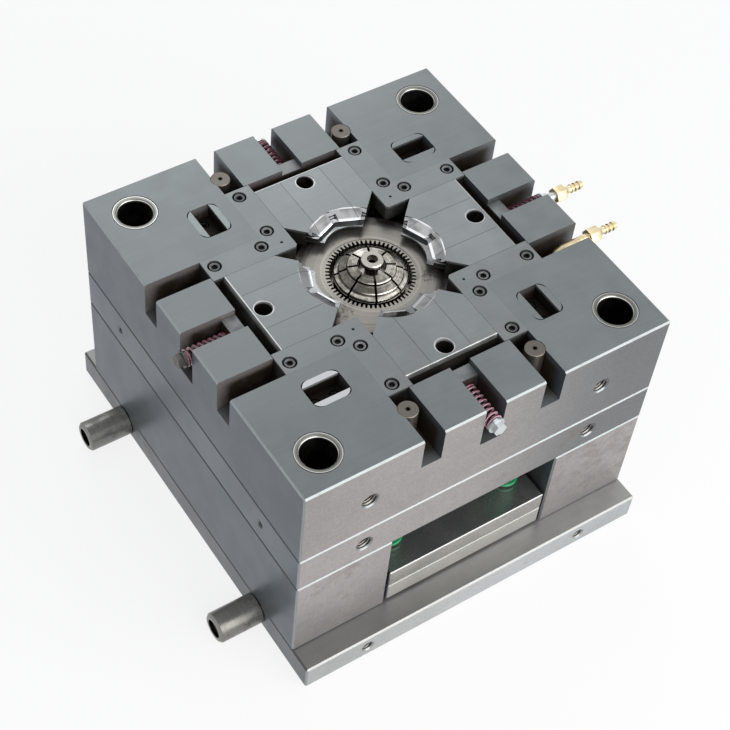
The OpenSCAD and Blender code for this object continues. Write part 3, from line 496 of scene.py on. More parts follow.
def ground_steel(
    name, colour, stain, cover, edge_gain=1.7, metallic=0.62, rough=0.38,
    light_falloff=None, front=None, front_tint=(1.08, 0.93, 0.89), fade=1.0, painted_light_corner=None,
    nose=False, seam=False, heel=False,
    soil_and_shade=None, top=PARTING_Z, depth=0.010, deep_shade_colour=(0.030, 0.021, 0.014),
    bridge=False, pin_hole=False, tapped=None,
):
    """Ground steel with grinding marks, blotches, a stain, broken edges with painted highlights, painted light
    on its faces, and painted shade in its depths.
    """
    material, tree, shader = new_finish(name)
    marks = use(tree, "Ground Marks")
    spots = use(tree, "Blotches", Scale=6.0, Cover=cover)
    mottle = use(tree, "Blotches", Scale=42.0, Cover=0.4)["Tone"]
    edge = use(tree, "Broken Edge")
    nz = facing(tree)[2]
    plain = vary(marks["Tone"], colour, 0.93, 1.07)
    cloud = vary(spots["Tone"], colour, 0.87, 1.13)
    speckled = vary(mottle, colour, 0.84, 1.15)
    base = blend(0.6, plain, blend(0.42, cloud, speckled))
    # Painted light falloff: the colour grows lighter or darker from the left of the mould to the right.
    if light_falloff:
        base = tinted(base, ramp(split(place(tree))[0], -0.16, 0.14, *light_falloff))
    # Painted light on the front and back faces, and painted shade on the side faces.
    if front:
        base = light_faces(base, front, front_tint, fade)
    # Painted highlight: the front left quarter takes a lighter colour.
    if painted_light_corner:
        base = blend(front_left(tree), base, painted_light_corner)
    marked = spots["Patch"] * (ramp(nz, 0.5, 0.2) * 0.30 + 0.08)
    base = blend(marked, base, stain)
    metal = metallic - marked * 0.3
    wear_and_glint = marked * 0.2 + rough + (mottle - 0.5) * 0.07
    unpolished = 1.0
    if nose:
        chrome = use(tree, "Slide Nose")
        polished = chrome["Mask"]
        unpolished = 1.0 - polished
        # The nose's colour is painted light and shade, with painted highlight lines on its edges.
        bright = blend(chrome["Tone"], (0.040, 0.042, 0.043), (0.48, 0.49, 0.50))
        bright = blend(chrome["Line"], bright, (0.92, 0.93, 0.94))
        base = blend(polished, base, bright)
        metal = larger(metal, polished * 0.95)
        wear_and_glint = wear_and_glint - polished * 0.20
    if seam:
        line = ramp(slide_place(tree)[1], INSERT_HALF - 0.0006, INSERT_HALF - 0.0002)
        base = blend(line * 0.75, base, shade(colour, 0.12))
    # Painted highlight on the broken edges, left off the polished nose.
    broken = edge["Mask"] * unpolished
    base = blend(broken, base, shade(colour, edge_gain))
    base = blend(edge["Seam"] * 0.8, base, shade(colour, 0.30))
    # Painted shade on the slide's heel slope, and a painted highlight line along its top edge.
    if heel:
        out, _, height = slide_place(tree)
        heel_shade = blend(mottle, (0.030, 0.032, 0.033), (0.16, 0.165, 0.165))
        base = blend(ramp(out, HEEL_EDGE, HEEL_EDGE + 0.0006), base, heel_shade)
        line = ramp(abs(out - HEEL_EDGE), 0.0006, 0.0002) * (height > PARTING_Z - 0.0012)
        base = blend(line * ramp(mottle, 0.0, 0.6, 0.35, 0.9), base, (0.70, 0.71, 0.72))
    wear_and_glint = wear_and_glint - broken * 0.10
    # Painted shade in the slots and bores, darker with depth and dark brown like oily dirt; the finish's
    # specular level drops too.
    if soil_and_shade:
        deep = use(tree, "Depth Shade", Top=top, Depth=depth)["Mask"]
        deep_shade = calc("MULTIPLY", deep * ramp(nz, 0.3, 0.8, 1.0, 0.86), soil_and_shade, clamp=True) * unpolished
        base = blend(deep_shade, base, deep_shade_colour)
        metal = metal - deep_shade * 0.5
        wear_and_glint = wear_and_glint + deep_shade * 0.15
        feed(shader, {"Specular IOR Level": 0.2})
    # Painted light on the bridge tops behind the slides: a lighter, mottled tone in place of the painted shade
    # in the slots.
    if bridge:
        out, aside, _ = slide_place(tree)
        between = (out > BRIDGE_FROM) * (out < BRIDGE_TO) * (aside < BRIDGE_HALF) * ramp(nz, 0.7, 0.9)
        base = blend(between, base, blend(mottle, (0.115, 0.122, 0.125), (0.27, 0.28, 0.285)))
    # Painted highlight near the top of the angle pin hole's wall, and painted shade deeper in it.
    if pin_hole:
        out, aside, height = slide_place(tree)
        sunk = PARTING_Z - height
        inside = (span(out - PIN_HOLE_AT, aside) < PIN_HOLE_R) * (sunk > 0.0002)
        wall = blend(ramp(sunk, 0.0009, 0.0035), (0.50, 0.51, 0.52), (0.010, 0.009, 0.008))
        base = blend(inside, base, wall)
    if tapped:
        height, face, bore = tapped
        hole = use(tree, "Tapped Shade", Height=height, Face=face, Radius=bore + 0.0006)["Mask"]
        base = blend(hole, base, (0.014, 0.012, 0.010))
    dress(shader, base, metal, wear_and_glint, marks["Height"], depth=0.00003, strength=0.4)
    return material


def turned_steel(
    name, colour, axis_at=(0.0, 0.0, 0.0), rings=1400.0, metallic=0.85, rough=0.30, spread=0.25,
    stain=None, soil_and_shade=0.6, lip=None, eye=None, wall=None, side_fade=None, patchy=None, skirt=None, bore_top=None,
):
    """Turned or polished steel with rings round an upright axis."""
    material, tree, shader = new_finish(name)
    marks = use(tree, "Turned Rings", Axis_At=axis_at, Rings=rings)
    spots = use(tree, "Blotches", Scale=26.0, Cover=0.5)
    radius = marks["Radius"]
    upright = ramp(facing(tree)[2], 0.45, 0.20)
    plain = vary(marks["Tone"], colour, 1.0 - spread, 1.0 + spread)
    stained_and_shaded = blend(spots["Patch"] * soil_and_shade, plain, stain or shade(colour, 0.5))
    # Painted light on the bush's face: the inner part darker, the outer part lighter, and two painted highlight
    # rings.
    if lip:
        away = radius - lip
        stained_and_shaded = vary(ramp(away, 0.0, 0.0003), colour, 0.50, 0.62)
        for ring in (-0.0016, 0.0016):
            stained_and_shaded = blend(ramp(abs(away - ring), 0.0003, 0.0001), stained_and_shaded, (0.66, 0.66, 0.64))
    # Painted shade: a dark disc round the middle, over the hole and its rim.
    if eye:
        stained_and_shaded = blend(ramp(radius, eye, eye * 0.8), stained_and_shaded, PAINTED_HOLE_SHADE)
    # Painted shade on the upright faces.
    if wall:
        stained_and_shaded = blend(upright, stained_and_shaded, tinted(stained_and_shaded, (wall, wall * 0.97, wall * 0.92)))
    # Painted shade on the left side of the piece.
    if side_fade:
        dim = 1.0 - side_fade
        faded = ramp(split(place(tree))[0], 0.010, -0.014)
        stained_and_shaded = blend(faded, stained_and_shaded, tinted(stained_and_shaded, (dim, dim, dim * 0.97)))
    # Painted highlight on the broken edges, except on a lipped bush.
    if not lip:
        stained_and_shaded = blend(use(tree, "Broken Edge")["Mask"] * 0.6, stained_and_shaded, shade(colour, 2.0))
    if patchy:
        dark = tinted(stained_and_shaded, shade((1.0, 0.98, 0.95), 1.0 - patchy))
        stained_and_shaded = blend(ramp(noise(place(tree), 190.0, 2.0, 0.5), 0.56, 0.42), stained_and_shaded, dark)
    # Painted shade on the floor beyond a radius, broken up unevenly and lighter in the front left quarter.
    if skirt:
        oil_and_painted_light = ramp(radius, *skirt) * (1.0 - front_left(tree) * 0.8)
        oil_and_painted_light = oil_and_painted_light * ramp(noise(place(tree), 90.0), 0.35, 0.60, 0.70, 1.0)
        stained_and_shaded = blend(oil_and_painted_light, stained_and_shaded, (0.022, 0.020, 0.017))
    # Painted shade inside the bore, below its top.
    if bore_top:
        deep = use(tree, "Depth Shade", Top=bore_top, Depth=0.004)["Mask"]
        stained_and_shaded = blend(deep * upright, stained_and_shaded, (0.012, 0.011, 0.010))
    metal = metallic - spots["Patch"] * 0.2
    dress(shader, stained_and_shaded, metal, spots["Tone"] * 0.12 + rough, marks["Height"], depth=0.00005)
    return material


def lathe_along(
    name, colour, along, metallic, rough, rings=1800.0, spread=0.18, soil_and_shade=0.35, leg_bore=None, dark_to=None
):
    """Metal turned on a lying axis: bands across the piece, darkened in the grooves."""
    material, tree, shader = new_finish(name)
    at = split(place(tree))[along]
    marks = tool_marks(at * rings)
    spots = use(tree, "Blotches", Scale=60.0, Cover=0.6)
    plain = vary(ramp(marks, 0.3, 0.7), colour, 1.0 - spread, 1.0 + spread)
    stained_and_shaded = blend(spots["Patch"] * soil_and_shade, plain, shade(colour, 0.4))
    # Painted shade, with a painted maroon reflection, on the rod inside its spring.
    if dark_to:
        stained_and_shaded = blend(abs(at) < dark_to, stained_and_shaded, MAROON_SHADE)
    # Painted shade inside the leg's bore, and a painted shadow line where the leg meets the plate.
    if leg_bore:
        axis_y, axis_z, radius = leg_bore
        x, y, z = folded(tree)
        inside = span(y - axis_y, z - axis_z) < radius
        at_plate = ramp(x, BASE_X + 0.0011, BASE_X + 0.0006)
        stained_and_shaded = blend(larger(inside, at_plate), stained_and_shaded, (0.008, 0.007, 0.006))
    dress(shader, stained_and_shaded, metallic, spots["Tone"] * 0.14 + rough, marks, depth=0.00004)
    return material


def lacquer(name, colour, bare_and_painted_light, along=None, share=0.0):
    """Lacquered spring wire, its lacquer rubbed thin in places, and a painted highlight on the sides that face
    along.
    """
    material, tree, shader = new_finish(name)
    spots = use(tree, "Blotches", Scale=90.0, Cover=0.35)
    fine = noise(place(tree), 1500.0)
    rubbed_and_sheen = blend(spots["Patch"] * 0.35, vary(spots["Tone"], colour, 0.75, 1.25), bare_and_painted_light)
    # Painted highlight on the sides of the wire that face along the spring, by its share.
    if along is not None:
        rubbed_and_sheen = blend(ramp(facing(tree)[along], 0.50, 0.80) * share, rubbed_and_sheen, bare_and_painted_light)
    dress(shader, rubbed_and_sheen, 0.0, ramp(fine, 0.3, 0.7, 0.22, 0.40), fine, depth=0.00003, strength=0.4)
    feed(shader, {"Coat Weight": 1.0, "Coat Roughness": 0.06})
    return material


def dark_oxide(name, disc_from=None):
    """Socket screws: black oxide, rubbed to steel with a painted sheen on flats and bevels above disc_from, or
    dull all over.
    """
    material, tree, shader = new_finish(name)
    grain = noise(place(tree), 900.0)
    tone = use(tree, "Blotches", Scale=70.0, Cover=0.6)["Tone"]
    colour = blend(tone, (0.012, 0.012, 0.014), (0.03, 0.03, 0.033))
    metal = 0.35
    if disc_from:
        # Rubbed steel, with a painted sheen, on the flats and bevels that face up.
        flat = ramp(facing(tree)[2], 0.35, 0.60)
        high = split(place(tree))[2] > disc_from
        bright = flat * high * ramp(grain, 0.2, 0.5, 0.75, 1.0)
        colour = blend(bright, colour, blend(tone, (0.085, 0.090, 0.093), (0.175, 0.182, 0.187)))
        metal = ramp(bright, 0.0, 1.0, 0.35, 0.75)
    else:
        feed(shader, {"Specular IOR Level": 0.1})
    dress(shader, colour, metal, ramp(grain, 0.3, 0.7, 0.34, 0.5), grain, depth=0.00004)
    return material


def cover_with(material, *names):
    for name in names:
        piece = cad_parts[name]
        if not piece.material_slots:
            piece.data.materials.append(material)
        for slot in piece.material_slots:
            slot.material = material


# Shaping


def only(kind, items):
    return [item for item in items if isinstance(item, kind)]


def finish_piece(name, bm, material, body, replaced=()):
    bmesh.ops.remove_doubles(bm, verts=bm.verts, dist=1e-6)
    bmesh.ops.recalc_face_normals(bm, faces=bm.faces)
    mesh = bpy.data.meshes.new(name)
    bm.to_mesh(mesh)
    bm.free()
    mesh.polygons.foreach_set("use_smooth", [True] * len(mesh.polygons))
    mesh.set_sharp_from_angle(angle=math.radians(SHARP_FROM))
    mesh.materials.append(material)
    piece = bpy.data.objects.new(name, mesh)
    bpy.context.scene.collection.objects.link(piece)
    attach(piece, body)
    if replaced:
        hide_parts(*replaced)
    return piece


def round_off(bm, geom, offset, affect):
    bmesh.ops.bevel(
        bm, geom=geom, offset=offset, offset_type="OFFSET", segments=2, profile=0.5, affect=affect,
        material=-1, clamp_overlap=True,
    )


def rounded_section(bm, width, height, mean_r):
    """A wire's section in the XZ plane, its corners rounded, set out at the coil's mean radius."""
    made = bmesh.ops.create_grid(bm, x_segments=1, y_segments=1, size=0.5)["verts"]
    bmesh.ops.scale(bm, verts=made, vec=(width, height, 1.0))
    round_off(bm, made, offset=WIRE_CORNER, affect="VERTICES")
    bmesh.ops.delete(bm, geom=bm.faces[:], context="FACES_ONLY")
    bmesh.ops.rotate(bm, verts=bm.verts, cent=(0, 0, 0), matrix=Matrix.Rotation(math.pi / 2, 3, "X"))
    bmesh.ops.translate(bm, verts=bm.verts, vec=(mean_r, 0, 0))
    return bm.verts[:] + bm.edges[:]


def wind(bm, geom, turns, rise, steps):
    """Winds a section round Z, rising by rise over each turn, and returns the far end."""
    count = max(1, round(steps * turns))
    made = bmesh.ops.spin(
        bm, geom=geom, cent=(0, 0, 0), axis=(0, 0, 1), dvec=(0, 0, rise * turns / count),
        angle=2 * math.pi * turns, steps=count, use_merge=False, use_duplicate=False,
    )
    return made["geom_last"]


def coil(width, height, mean_r, length, turns, steps):
    """A compression spring standing on Z = 0 with closed ends."""
    bm = bmesh.new()
    start = rounded_section(bm, width, height, mean_r)
    bmesh.ops.translate(bm, verts=bm.verts, vec=(0, 0, height / 2))
    closed = 1.04 * height
    pitch = (length - height - 2 * closed) / (turns - 2)
    end = start
    for count, rise in ((1.0, closed), (turns - 2, pitch), (1.0, closed)):
        end = wind(bm, end, count, rise, steps)
    for cap in (start, end):
        bmesh.ops.edgeloop_fill(bm, edges=only(bmesh.types.BMEdge, cap))
    return bm


def draw_line(bm, points):
    verts = [bm.verts.new(point) for point in points]
    return verts + [bm.edges.new(pair) for pair in zip(verts, verts[1:])]


def revolve(bm, outline, steps):
    """Turns an open outline of (radius, height) points once round Z."""
    line = draw_line(bm, [(radius, 0.0, height) for radius, height in outline])
    bmesh.ops.spin(
        bm, geom=line, cent=(0, 0, 0), axis=(0, 0, 1), dvec=(0, 0, 0),
        angle=2 * math.pi, steps=steps, use_merge=True, use_duplicate=False,
    )


def join_copies(bm, matrices):
    """Repeats the shape once for each matrix."""
    base = bm.verts[:] + bm.edges[:] + bm.faces[:]
    copies = [only(bmesh.types.BMVert, base)]
    for _ in matrices[1:]:
        copies.append(only(bmesh.types.BMVert, bmesh.ops.duplicate(bm, geom=base)["geom"]))
    for matrix, verts in zip(matrices, copies):
        bmesh.ops.transform(bm, matrix=matrix, verts=verts)


def pointing(direction, at):
    """Turns +Z to the direction and moves the origin to the place."""
    turn = Vector((0, 0, 1)).rotation_difference(Vector(direction)).to_matrix().to_4x4()
    return Matrix.Translation(Vector(at)) @ turn


# The pieces


class MOULD_OT_slide_springs(bpy.types.Operator):
    """Winds the four maroon springs on the slide rods"""

    bl_idname = "mould.slide_springs"
    bl_label = "Slide springs"

    def execute(self, context):
        sizes = context.scene.mould_sizes
        finishes = context.scene.mould_finishes
        # Painted highlights on the slide springs: strong on the front and left springs, weak on the back and
        # right ones.
        pale = (0.95, 0.66, 0.74)
        pale_share = {"front": 0.85, "right": 0.30, "back": 0.18, "left": 0.85}
        for side, out in OUTWARD.items():
            node = f"slide_{side}_spring"
            low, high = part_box(node)
            middle = (low + high) / 2
            reach = (high - low).dot(Vector(map(abs, out)))
            mean_r = (high.z - low.z) / 2 - sizes.slide_wire / 2
            bm = coil(sizes.slide_wire, sizes.slide_wire_height, mean_r, reach, sizes.slide_coils, steps=28)
            bmesh.ops.transform(bm, matrix=pointing(out, middle - out * reach / 2), verts=bm.verts)
            along = 1 if side in ("front", "back") else 0
            name = f"Slide Spring Lacquer {side.title()}"
            paint = lacquer(name, finishes.maroon, pale, along, pale_share[side])
            piece = finish_piece(
                f"wound_slide_spring_{side}", bm, paint, f"slide_{side}_set", (node,)
            )
            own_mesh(piece)
        return {"FINISHED"}


class MOULD_OT_return_springs(bpy.types.Operator):
    """Winds the four green springs round the return pins"""

    bl_idname = "mould.return_springs"
    bl_label = "Return springs"

    def execute(self, context):
        sizes = context.scene.mould_sizes
        paint = lacquer("Return Spring Lacquer", context.scene.mould_finishes.green, (0.10, 0.42, 0.24))
        low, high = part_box("return_springs")
        length = high.z - low.z
        wire = sizes.return_wire
        mean_r = (sizes.return_spring - wire) / 2
        bm = coil(wire - 0.0002, wire, mean_r, length, sizes.return_coils, steps=36)
        off_x = high.x - sizes.return_spring / 2
        off_y = high.y - sizes.return_spring / 2
        join_copies(bm, [Matrix.Translation((x, y, low.z)) for x in (-off_x, off_x) for y in (-off_y, off_y)])
        piece = finish_piece(
            "wound_return_springs", bm, paint, "ejector_set", ("return_springs",)
        )
        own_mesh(piece)
        return {"FINISHED"}


def next_ring(bm, edges, radius, height):
    """Draws a ring of edges out to a circle at another height, and returns the new ring."""
    made = bmesh.ops.extrude_edge_only(bm, edges=edges)["geom"]
    verts = set(only(bmesh.types.BMVert, made))
    for vert in verts:
        out = Vector((vert.co.x, vert.co.y, 0.0))
        vert.co = (out.normalized() * radius if radius else out) + Vector((0.0, 0.0, height))
    return [edge for edge in only(bmesh.types.BMEdge, made) if verts.issuperset(edge.verts)]


def socket_screw(thread, head_r, length):
    """Socket screw hanging from Z = 0: a hexagon socket, a rounded head and its shank."""
    bm = bmesh.new()
    hexagon = 0.475 * thread
    bmesh.ops.create_circle(bm, cap_ends=False, radius=hexagon, segments=6)
    bmesh.ops.subdivide_edges(bm, edges=bm.edges[:], cuts=7)
    bmesh.ops.translate(bm, verts=bm.verts, vec=(0, 0, -0.55 * thread))
    ring = bm.edges[:]
    bmesh.ops.edgeloop_fill(bm, edges=ring)
    for radius, height in (
        (0.0, -0.10 * thread),
        (hexagon * 1.12, -0.02 * thread),
        (hexagon * 1.20, 0.0),
        (head_r * 0.86, 0.0),
        (head_r * 0.95, -0.03 * thread),
        (head_r, -0.10 * thread),
        (head_r, -thread),
        (thread / 2, -thread),
        (thread / 2, -length + 0.08 * thread),
        (thread * 0.42, -length),
    ):
        ring = next_ring(bm, ring, radius, height)
    bmesh.ops.edgeloop_fill(bm, edges=ring)
    return bm


class MOULD_OT_socket_screws(bpy.types.Operator):
    """Makes the socket screws of the gibs and the parting locks"""

    bl_idname = "mould.socket_screws"
    bl_label = "Socket screws"

    def execute(self, context):
        out, inner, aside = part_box("gib_screws")[1].x - 0.005, 0.071, 0.058
        in_gibs = [(out, aside), (aside, out), (inner, aside), (aside, inner)]
        self.make("gib_screws", "gib_socket_screws", in_gibs, thread=0.006, head_r=0.0047)
        out, apart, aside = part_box("parting_lock_screws")[1].x - 0.00425, 0.018, 0.0937
        in_locks = [(out, aside), (out - apart, aside)]
        self.make(
            "parting_lock_screws", "lock_socket_screws", in_locks, thread=0.005, head_r=0.0042, rubbed_and_sheen=False
        )
        return {"FINISHED"}

    def make(self, node, name, places, thread, head_r, rubbed_and_sheen=True):
        low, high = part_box(node)
        oxide = dark_oxide(f"{name} oxide".replace("_", " ").title(), high.z - 0.0009 if rubbed_and_sheen else None)
        bm = socket_screw(thread, head_r, high.z - low.z)
        turns = [Matrix.Rotation(quarter * math.pi / 2, 4, "Z") for quarter in range(4)]
        join_copies(bm, [turn @ Matrix.Translation((x, y, high.z)) for turn in turns for x, y in places])
        finish_piece(name, bm, oxide, "mould_base", (node,))


def thread_ridge(radius, pitch, depth):
    """The ridge of an inside thread, from just under the mouth at Z = 0 down to -depth."""
    bm = bmesh.new()
    half = pitch * 0.42
    foot = radius + 0.00012
    ridge = draw_line(bm, [(foot, 0.0, half), (radius - pitch * 0.45, 0.0, 0.0), (foot, 0.0, -half)])
    bmesh.ops.translate(bm, verts=bm.verts, vec=(0, 0, -0.0018))
    wind(bm, ridge, (depth - 0.003) / pitch, -pitch, 24)
    return bm


class MOULD_OT_lifting_threads(bpy.types.Operator):
    """Cuts the look of a thread into each tapped hole in the plates' faces"""

    bl_idname = "mould.lifting_threads"
    bl_label = "Threads in the tapped holes"

    def execute(self, context):
        # The threads' steel is painted dark, as painted shade inside the tapped holes.
        steel = turned_steel("Thread Steel", (0.17, 0.16, 0.15), rings=900.0)
        pitch = context.scene.mould_sizes.lifting_pitch
        large = thread_ridge(LIFTING_BORE_R, pitch, depth=0.024)
        self.cut("lifting_hole_threads", large, (CAVITY_TAP_Z, SUPPORT_TAP_Z), BASE_Y, steel)
        small = thread_ridge(CLAMP_BORE_R, pitch=0.00175, depth=0.018)
        self.cut("clamp_hole_threads", small, (CLAMP_TAP_Z,), CLAMP_Y, steel)
        return {"FINISHED"}

    def cut(self, name, bm, heights, face, steel):
        mouths = [(x, way, z) for z in heights for x in (-TAP_AT, TAP_AT) for way in (-1, 1)]
        join_copies(bm, [pointing((0, way, 0), (x, way * face, z)) for x, way, z in mouths])
        finish_piece(name, bm, steel, "mould_base")


def nipple_shape(barbs, hexagon, tail):
    """Hose nipple along +Z: a hexagon with broken corners, a neck and a barbed tail, bored through."""
    bm = bmesh.new()
    nut_top = hexagon * 0.7
    end = hexagon + tail
    corner_r = 0.0065 / math.cos(math.pi / 6)
    nut = bmesh.ops.create_circle(bm, cap_ends=True, radius=corner_r, segments=6)["verts"]
    made = bmesh.ops.extrude_face_region(bm, geom=list(nut[0].link_faces))["geom"]
    bmesh.ops.translate(bm, verts=only(bmesh.types.BMVert, made), vec=(0, 0, nut_top))
    level = [edge for edge in bm.edges if abs(edge.verts[0].co.z - edge.verts[1].co.z) < 1e-6]
    round_off(bm, level, offset=0.0006, affect="EDGES")
    step = (tail - 0.003) / barbs
    outline = [(0.0060, nut_top - 0.0004), (0.0056, nut_top), (0.0048, nut_top + 0.0014)]
    outline += [(0.0040, hexagon - 0.0022), (0.0032, hexagon - 0.0006), (0.0032, hexagon + 0.0024)]
    for index in range(barbs):
        foot = hexagon + 0.003 + step * index
        outline += [(0.0034, foot - 0.0002), (0.0040, foot + 0.0001), (0.0040, foot + 0.0007)]
        outline += [(0.0031, foot + step * 0.94)]
    outline += [(0.0031, end - 0.0001), (0.0028, end), (0.0020, end), (0.0019, end - 0.0003)]
    outline += [(0.0019, hexagon * 0.5)]
    revolve(bm, outline, steps=40)
    return bm


class MOULD_OT_hose_nipples(bpy.types.Operator):
    """Turns the two brass hose nipples on the right side"""

    bl_idname = "mould.hose_nipples"
    bl_label = "Hose nipples"

    def execute(self, context):
        sizes = context.scene.mould_sizes
        brass = lathe_along("Nipple Brass", context.scene.mould_finishes.brass, 0, metallic=1.0, rough=0.22)
        hexagon = 0.015
        for node, body in (("cooling_nipple", "mould_base"), ("slide_right_nipple", "slide_right_set")):
            low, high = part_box(node)
            middle = (low + high) / 2
            bm = nipple_shape(sizes.barbs, hexagon, (high.x - low.x) - hexagon)
            foot = pointing(OUTWARD["right"], (low.x, middle.y, middle.z))
            bmesh.ops.transform(bm, matrix=foot, verts=bm.verts)
            finish_piece(f"turned_{node}", bm, brass, body, (node,))
        return {"FINISHED"}


# Finishes on the solids


class MOULD_OT_base_finish(bpy.types.Operator):
    """Gives the plates, locks and bushes their ground steel"""

    bl_idname = "mould.base_finish"
    bl_label = "Mould base finish"

    def execute(self, context):
        steel = context.scene.mould_finishes.plate
        stain = context.scene.mould_finishes.stain
        # Painted light on the faces of the plates and blocks below, and painted shade in the depths of some.
        plate = ground_steel(
            "Cavity Plate Steel", steel, stain, cover=0.34, light_falloff=(0.88, 1.10), front=1.88, soil_and_shade=1.06,
            bridge=True, tapped=(CAVITY_TAP_Z, BASE_Y, LIFTING_BORE_R),
        )
        cover_with(plate, "cavity_plate")
        under = ground_steel(
            "Support Plate Steel", steel, stain, cover=0.40, front=1.82,
            tapped=(SUPPORT_TAP_Z, BASE_Y, LIFTING_BORE_R),
        )
        cover_with(under, "support_plate")
        wear_and_glint = ground_steel(
            "Clamp Plate Steel", (0.204, 0.206, 0.202), stain, cover=0.50, light_falloff=(0.98, 1.5), front=2.05,
            front_tint=(0.98, 0.99, 1.02), fade=0.55, tapped=(CLAMP_TAP_Z, CLAMP_Y, CLAMP_BORE_R),
        )
        cover_with(wear_and_glint, "clamp_plate")
        blocks = ground_steel(
            "Spacer Steel", steel, stain, cover=0.50, front=1.85, fade=0.18, soil_and_shade=0.75, top=0.130, depth=0.006
        )
        cover_with(blocks, "spacer_left", "spacer_right")
        # Painted shade deep in the lock slots, and a painted highlight on the front left lock.
        pads = ground_steel(
            "Lock Steel", shade(steel, 1.12), stain, cover=0.45, edge_gain=1.6, rough=0.34,
            painted_light_corner=(0.46, 0.47, 0.475), soil_and_shade=1.6, depth=0.005, deep_shade_colour=(0.010, 0.0075, 0.0055),
        )
        cover_with(pads, "parting_locks")
        bush_r = 0.021
        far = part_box("guide_bushes")[1]
        bush = turned_steel(
            "Bush Steel", (0.30, 0.30, 0.28), axis_at=(far.x - bush_r, far.y - bush_r, 0.0), rough=0.28,
            lip=0.0168, bore_top=PARTING_Z,
        )
        cover_with(bush, "guide_bushes")
        # Painted light: the fronts of the retainer and ejector plates are painted brighter.
        between = {"front": 1.65, "front_tint": (1.02, 0.97, 0.93), "fade": 0.3}
        oil_and_painted_light = ground_steel(
            "Retainer Steel", (0.30, 0.305, 0.30), stain, cover=0.4, edge_gain=1.2, metallic=0.8, rough=0.26,
            **between,
        )
        cover_with(oil_and_painted_light, "retainer_plate")
        bright = ground_steel(
            "Ejector Plate Steel", (0.34, 0.345, 0.34), stain, cover=0.35, edge_gain=1.0, rough=0.36, **between
        )
        cover_with(bright, "ejector_plate", "rest_buttons", "support_pillars")
        return {"FINISHED"}


class MOULD_OT_slide_finish(bpy.types.Operator):
    """Gives the slides, their inserts, the gibs and the wear plates their finish"""

    bl_idname = "mould.slide_finish"
    bl_label = "Slide finish"

    def execute(self, context):
        finishes = context.scene.mould_finishes
        steel, stain = finishes.slide, finishes.stain
        # Painted light falloff, painted light on the noses, and painted shade in the pin holes and depths of
        # the open slides.
        open_slide = {"light_falloff": (0.78, 1.14), "nose": True, "pin_hole": True}
        open_slide |= {"depth": 0.0032, "deep_shade_colour": (0.016, 0.015, 0.013)}
        slide = ground_steel(
            "Slide Steel", steel, stain, cover=0.22, edge_gain=0.6, rough=0.34, heel=True, soil_and_shade=1.05,
            **open_slide,
        )
        cover_with(slide, *[f"slide_{side}" for side in OUTWARD])
        insert = ground_steel(
            "Insert Steel", shade(steel, 1.02), stain, cover=0.25, edge_gain=1.25, rough=0.32, seam=True,
            soil_and_shade=1.0, **open_slide,
        )
        cover_with(insert, *[f"slide_{side}_insert" for side in OUTWARD])
        # Painted light falloff and painted shade in the depths of the gibs.
        gib = ground_steel(
            "Gib Steel", shade(steel, 0.90), stain, cover=0.25, light_falloff=(0.90, 1.10), soil_and_shade=1.05, depth=0.0035,
            deep_shade_colour=(0.018, 0.016, 0.014),
        )
        cover_with(gib, "gib_front_left", "gib_front_right", "gib_back_right", "gib_back_left")
        bronze = ground_steel(
            "Wear Plate Bronze", finishes.bronze, (0.08, 0.06, 0.04), cover=0.5, metallic=0.9, rough=0.3
        )
        cover_with(bronze, "wear_plates")
        return {"FINISHED"}


class MOULD_OT_core_finish(bpy.types.Operator):
    """Gives the core, the toothed ring and the centre pin their polish"""

    bl_idname = "mould.core_finish"
    bl_label = "Core finish"

    def execute(self, context):
        colour = context.scene.mould_finishes.core
        block = turned_steel(
            "Core Block Steel", shade(colour, 0.72), rings=420.0, metallic=0.8, spread=0.15,
            stain=(0.035, 0.030, 0.025), soil_and_shade=0.85, skirt=(0.051, 0.060),
        )
        cover_with(block, "core_block")
        teeth = turned_steel(
            "Ring Steel", shade(colour, 0.85), rings=700.0, metallic=0.9, rough=0.28, spread=0.15
        )
        cover_with(teeth, "ring_insert")
        # Painted shade on the segments' upright faces and on their left side.
        segments = turned_steel(
            "Segment Steel", shade(colour, 1.60), rings=900.0, metallic=0.95, rough=0.14, spread=0.40,
            stain=(0.05, 0.045, 0.038), wall=0.20, side_fade=0.70, patchy=0.40,
        )
        cover_with(segments, *[f"core_segment_{index}" for index in range(1, 9)])
        pin = turned_steel(
            "Centre Pin Steel", shade(colour, 1.05), rings=1600.0, metallic=0.95, rough=0.22, spread=0.1,
            eye=0.0036, bore_top=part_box("centre_pin")[1].z - 0.0003,
        )
        cover_with(pin, "centre_pin")
        return {"FINISHED"}


